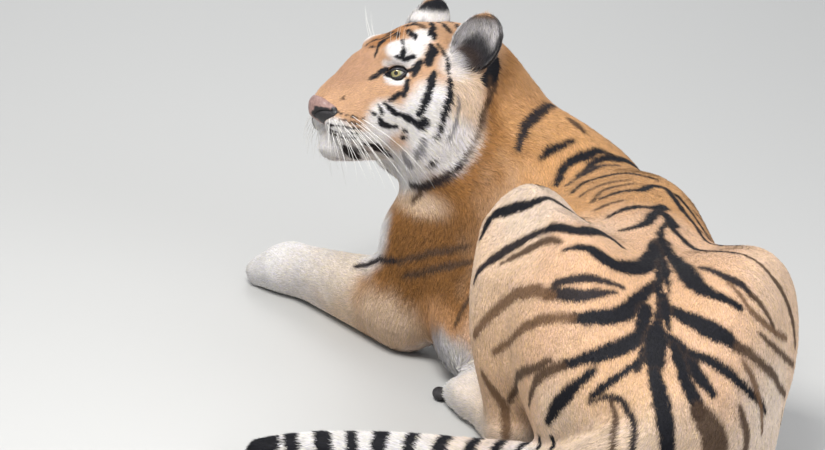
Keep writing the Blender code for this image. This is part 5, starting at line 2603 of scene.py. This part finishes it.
    def shares(self, tufts: Tufts) -> list[Tufts]:
        """Cuts a region where it would pass the most triangles in a piece.

        Args:
            tufts: The region's tufts.

        Returns:
            The tufts of each piece.
        """
        cost = tufts.triangles()
        count = int(math.ceil(cost.sum() / MOST_TRIANGLES))
        order = np.argsort(tufts.roots @ np.array((0.3, 1.0, 0.1)), kind="stable")
        spent = np.cumsum(cost[order]) / cost.sum()
        ends = np.arange(count + 1) / count
        return [tufts.part(order[(spent > low) & (spent <= high)]) for low, high in zip(ends, ends[1:])]

    def knit(self, name: str, tufts: Tufts) -> bpy.types.Object:
        """Makes one piece of a region's tufts.

        Args:
            name: The piece's name.
            tufts: Its tufts.

        Returns:
            The piece with its colours, its map and its shading.
        """
        long = tufts.length > LONG_TUFT
        parts = [self.short(tufts.part(~long)), self.bent(tufts.part(long))]
        points, faces = stacked([(some, corners) for some, corners, *_ in parts])
        normals, colours, maps = (np.vstack(rows) for rows in list(zip(*parts))[2:])
        obj = mesh_piece(name, points, faces)
        colour_points(obj, np.clip(colours, 0, 1))
        layer = obj.data.uv_layers.new(name=MAP)
        layer.uv.foreach_set("vector", maps[faces.ravel()].astype(np.float32).ravel())
        obj.data.shade_smooth()
        obj.data.normals_split_custom_set_from_vertices(unit(normals).tolist())
        return obj

    def short(self, tufts: Tufts) -> tuple[Array, Array, Array, Array, Array]:
        """Straight tufts of four faces.

        Args:
            tufts: The short tufts.

        Returns:
            Points, triangles, normals, colours and places on the map.
        """
        across = np.cross(tufts.lie, tufts.normals)
        half = across * (tufts.width / 2)[:, None]
        ahead = tufts.lie * np.sqrt(1 - tufts.rise**2)[:, None] + tufts.normals * tufts.rise[:, None]
        base = tufts.roots - tufts.normals * 0.0006
        top = tufts.roots + tufts.normals * (tufts.width * 0.42)[:, None]
        top += tufts.lie * (tufts.length * 0.12)[:, None]
        tip = tufts.roots + ahead * tufts.length[:, None]
        points = np.stack([base - half, base + half, top, tip], axis=1)
        ups = np.stack([
            tufts.normals - 0.55 * across,
            tufts.normals + 0.55 * across,
            tufts.normals,
            tufts.normals + 0.25 * tufts.lie,
        ], axis=1)
        # The root's factor is painted shade deep in the coat; the tip is drawn brighter.
        shade = np.array([self.root_shade, self.root_shade, 0.97, self.tip_shade])
        corners = np.array([(0, 2, 3), (2, 1, 3), (0, 3, 1), (0, 1, 2)])
        flat = np.array([(-0.5, -0.5), (0.5, -0.5), (0, 0), (0, 0.5)]) * PATCH
        return self.lay_out(tufts, points, ups, shade, corners, flat)

    def bent(self, tufts: Tufts) -> tuple[Array, Array, Array, Array, Array]:
        """Long tufts of ten faces that lie down towards their tips.

        Args:
            tufts: The long tufts.

        Returns:
            Points, triangles, normals, colours and places on the map.
        """
        across = np.cross(tufts.lie, tufts.normals)
        droop = np.array([0.0, 0.0, -1.0]) * 0.10
        points, ups = [], []
        base = tufts.roots - tufts.normals * 0.001
        for share, lift, wide in ((0.0, 0.0, 1.0), (0.5, 0.66, 0.9)):
            middle = base + tufts.lie * (tufts.length * share)[:, None]
            middle += (tufts.normals + droop) * (tufts.length * tufts.rise * lift)[:, None]
            half = across * (tufts.width * wide / 2)[:, None]
            raised = tufts.normals * (tufts.width * 0.4 * wide)[:, None]
            points += [middle - half, middle + half, middle + raised]
            ups += [tufts.normals - 0.55 * across, tufts.normals + 0.55 * across, tufts.normals]
        wave = self.rng.normal(0, 0.07, len(tufts))
        tip = base + tufts.lie * (tufts.length * 0.95)[:, None] + across * (tufts.length * wave)[:, None]
        tip += (tufts.normals + 1.5 * droop) * (tufts.length * tufts.rise)[:, None]
        points.append(tip)
        ups.append(tufts.normals + 0.25 * tufts.lie)
        # The root's factor is painted shade deep in the coat; the tip is drawn brighter.
        shade = np.array([self.root_shade] * 3 + [0.97] * 3 + [self.tip_shade])
        corners = np.array([
            (0, 1, 2), (0, 2, 5), (0, 5, 3), (2, 1, 4), (2, 4, 5),
            (1, 0, 3), (1, 3, 4), (3, 5, 6), (5, 4, 6), (4, 3, 6),
        ])
        flat = [(-0.5, -0.5), (0.5, -0.5), (0, -0.45), (-0.4, 0), (0.4, 0), (0, 0.05), (0, 0.5)]
        points, ups = np.stack(points, axis=1), np.stack(ups, axis=1)
        return self.lay_out(tufts, points, ups, shade, corners, np.array(flat) * PATCH)

    def lay_out(
        self, tufts: Tufts, points: Array, ups: Array, shade: Array, corners: Array, flat: Array
    ) -> tuple[Array, Array, Array, Array, Array]:
        """Flattens rows of tufts into one list of vertices and faces.

        Args:
            tufts: The tufts.
            points: The vertices of each.
            ups: The normals of those.
            shade: Factor on the colour of each vertex of a tuft: painted shade at its root, brighter
                towards its tip.
            corners: A tuft's triangles.
            flat: Its vertices on the map, from its own place.

        Returns:
            Points, triangles, normals, colours and places on the map.
        """
        count, each = points.shape[:2]
        faces = (corners[None] + (np.arange(count) * each)[:, None, None]).reshape(-1, 3)
        colours = tufts.colours[:, None, :] * shade[None, :, None]
        maps = tufts.maps[:, None, :] + flat[None]
        points = points.reshape(-1, 3)
        points[:, 2] = np.maximum(points[:, 2], 0.0004)
        return points, faces, ups.reshape(-1, 3), colours.reshape(-1, 3), maps.reshape(-1, 2)


# ---------------------------------------------------------------- studio


@dataclass(frozen=True)
class Lamp:
    """One square soft light.

    Attributes:
        name: Its name.
        at: Its place.
        size: Its side.
        power: Its power in watts.
        colour: Its colour.
    """

    name: str
    at: Triple
    size: float
    power: float
    colour: Triple

    def hang(self) -> None:
        """Puts the light up, facing the animal."""
        data = bpy.data.lights.new(self.name, "AREA")
        data.size = self.size
        data.energy = self.power
        data.color = self.colour
        obj = bpy.data.objects.new(self.name, data)
        bpy.context.scene.collection.objects.link(obj)
        obj.location = self.at
        obj.rotation_euler = (Vector(LIT_POINT) - Vector(self.at)).to_track_quat("-Z", "Y").to_euler()


LIT_POINT = (0, -0.1, 0.2)
LAMPS = (
    Lamp("key", (-1.1, -1.7, 3.2), 1.4, 134, (1.0, 0.98, 0.95)),
    Lamp("fill", (2.6, -2.6, 1.8), 2.4, 68, (0.95, 0.97, 1.0)),
    Lamp("back", (-0.8, 3.4, 2.6), 2.0, 40, (1.0, 0.99, 0.97)),
)


@dataclass
class Studio:
    """Floor, light and camera.

    Attributes:
        target: Point in the middle of the picture.
        elevation: Camera's height over it in degrees.
        roll: Turn of the picture in degrees.
        distance: From the camera to the target.
        lens: Focal length in mm.
    """

    target: Triple = (-0.36, 0.10, 0.20)
    elevation: float = 20.0
    roll: float = 5.0
    distance: float = 8.0
    lens: float = 188.5

    def build(self) -> None:
        """Sets all of it up."""
        self.floor()
        self.sky()
        for lamp in LAMPS:
            lamp.hang()
        self.camera()

    def floor(self) -> None:
        """A plain pale floor."""
        bpy.ops.object.select_all(action="DESELECT")
        bpy.ops.mesh.primitive_grid_add(x_subdivisions=8, y_subdivisions=8, size=30, location=(0, 0, 0))
        obj = bpy.context.object
        obj.name = "floor"
        board = Board("pale_floor")
        board.rough(board.ranged(board.node("TexNoise", Scale=9).outputs["Fac"], (0.55, 0.65)))
        board.set(board.shader, Base_Color=(0.50, 0.50, 0.49, 1))
        obj.data.materials.append(board.material)

    def sky(self) -> None:
        """Soft light from all round, shown without a film curve."""
        world = bpy.data.worlds.new("studio")
        world.use_nodes = True
        world.node_tree.nodes["Background"].inputs["Color"].default_value = (0.92, 0.95, 1.0, 1)
        world.node_tree.nodes["Background"].inputs["Strength"].default_value = 0.60
        bpy.context.scene.world = world
        bpy.context.scene.view_settings.view_transform = "Standard"

    def camera(self) -> None:
        """The camera, level with a slight roll."""
        data = bpy.data.cameras.new("camera")
        data.lens = self.lens
        data.sensor_width = 36
        data.clip_end = 60
        obj = bpy.data.objects.new("camera", data)
        bpy.context.scene.collection.objects.link(obj)
        tilt, roll = math.radians(self.elevation), math.radians(self.roll)
        look = Vector((0, math.cos(tilt), -math.sin(tilt)))
        right = Vector((1, 0, 0))
        up = right.cross(look)
        turned = right * math.cos(roll) + up * math.sin(roll)
        over = up * math.cos(roll) - right * math.sin(roll)
        matrix = Matrix((turned, over, -look)).transposed().to_4x4()
        matrix.translation = Vector(self.target) - look * self.distance
        obj.matrix_world = matrix
        bpy.context.scene.camera = obj


# ---------------------------------------------------------------- the whole animal


def inset(skin: Skin, hide: Hide) -> None:
    """Draws the skin in by the coat's depth.

    Args:
        skin: The skin.
        hide: The coat that grows on it.
    """
    depth = hide.values[:, LENGTH] * hide.values[:, RISE] * 0.85 + 0.0008
    edges = edges_of(skin.obj)
    depth = spread(depth[:, None], edges, 8, 0.5)[:, 0]
    normals = unit(spread(normals_of(skin.obj), edges, 3, 0.5))
    points = coords(skin.obj)
    points = points - normals * depth[:, None]
    points[:, 2] = np.maximum(points[:, 2], 0.0002)
    place(skin.obj, points)


def dress_skin(skin: Skin, hide: Hide, painter: Painter) -> None:
    """Colours the skin like its coat, darkened by a fifth as painted shade under the fur, and gives it its
    map.

    Args:
        skin: The skin.
        hide: The coat that grows on it.
        painter: The source of its marks.
    """
    # The factor of 0.8 is painted shade: the skin drawn darker, as if in the coat's shadow.
    colours = painter.paint(coords(skin.obj), hide.values[:, :LENGTH]) * 0.8
    colour_points(skin.obj, colours)
    soft_shade(skin.obj)
    skin.obj.data.uv_layers.new(name=MAP)
    with editing(skin.obj):
        bpy.ops.uv.smart_project(angle_limit=STEEPEST, island_margin=0.004)
    hang(skin.obj, FurFinish("under_coat", grain=300, bump=0.0012, uneven=0.3).make())
    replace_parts(skin.obj, *skin.zones)


def main() -> None:
    """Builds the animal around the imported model."""
    logging.basicConfig(level=logging.INFO, format="%(name)s: %(message)s")
    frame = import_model()
    places = Places()
    skin = Skin(places)
    skin.build(frame["nodes"])
    face = Face(places.head)
    face.refine(skin.obj)
    skin.zone = skin.find_zones(coords(skin.obj))
    hide = Hide(skin)
    hide.survey()
    inset(skin, hide)
    face.shape(skin.obj)
    hide.survey()
    painter = Painter(places, skin)
    painter.set_marks()
    Coat(skin, hide, painter).grow()
    tree = skin_tree(skin.obj)
    dress_skin(skin, hide, painter)
    Eyes(places.head).build()
    Nose(places.head).build(tree)
    Whiskers(places.head).build(tree)
    Pads(places).build()
    Studio().build()


if __name__ == "__main__":
    main()
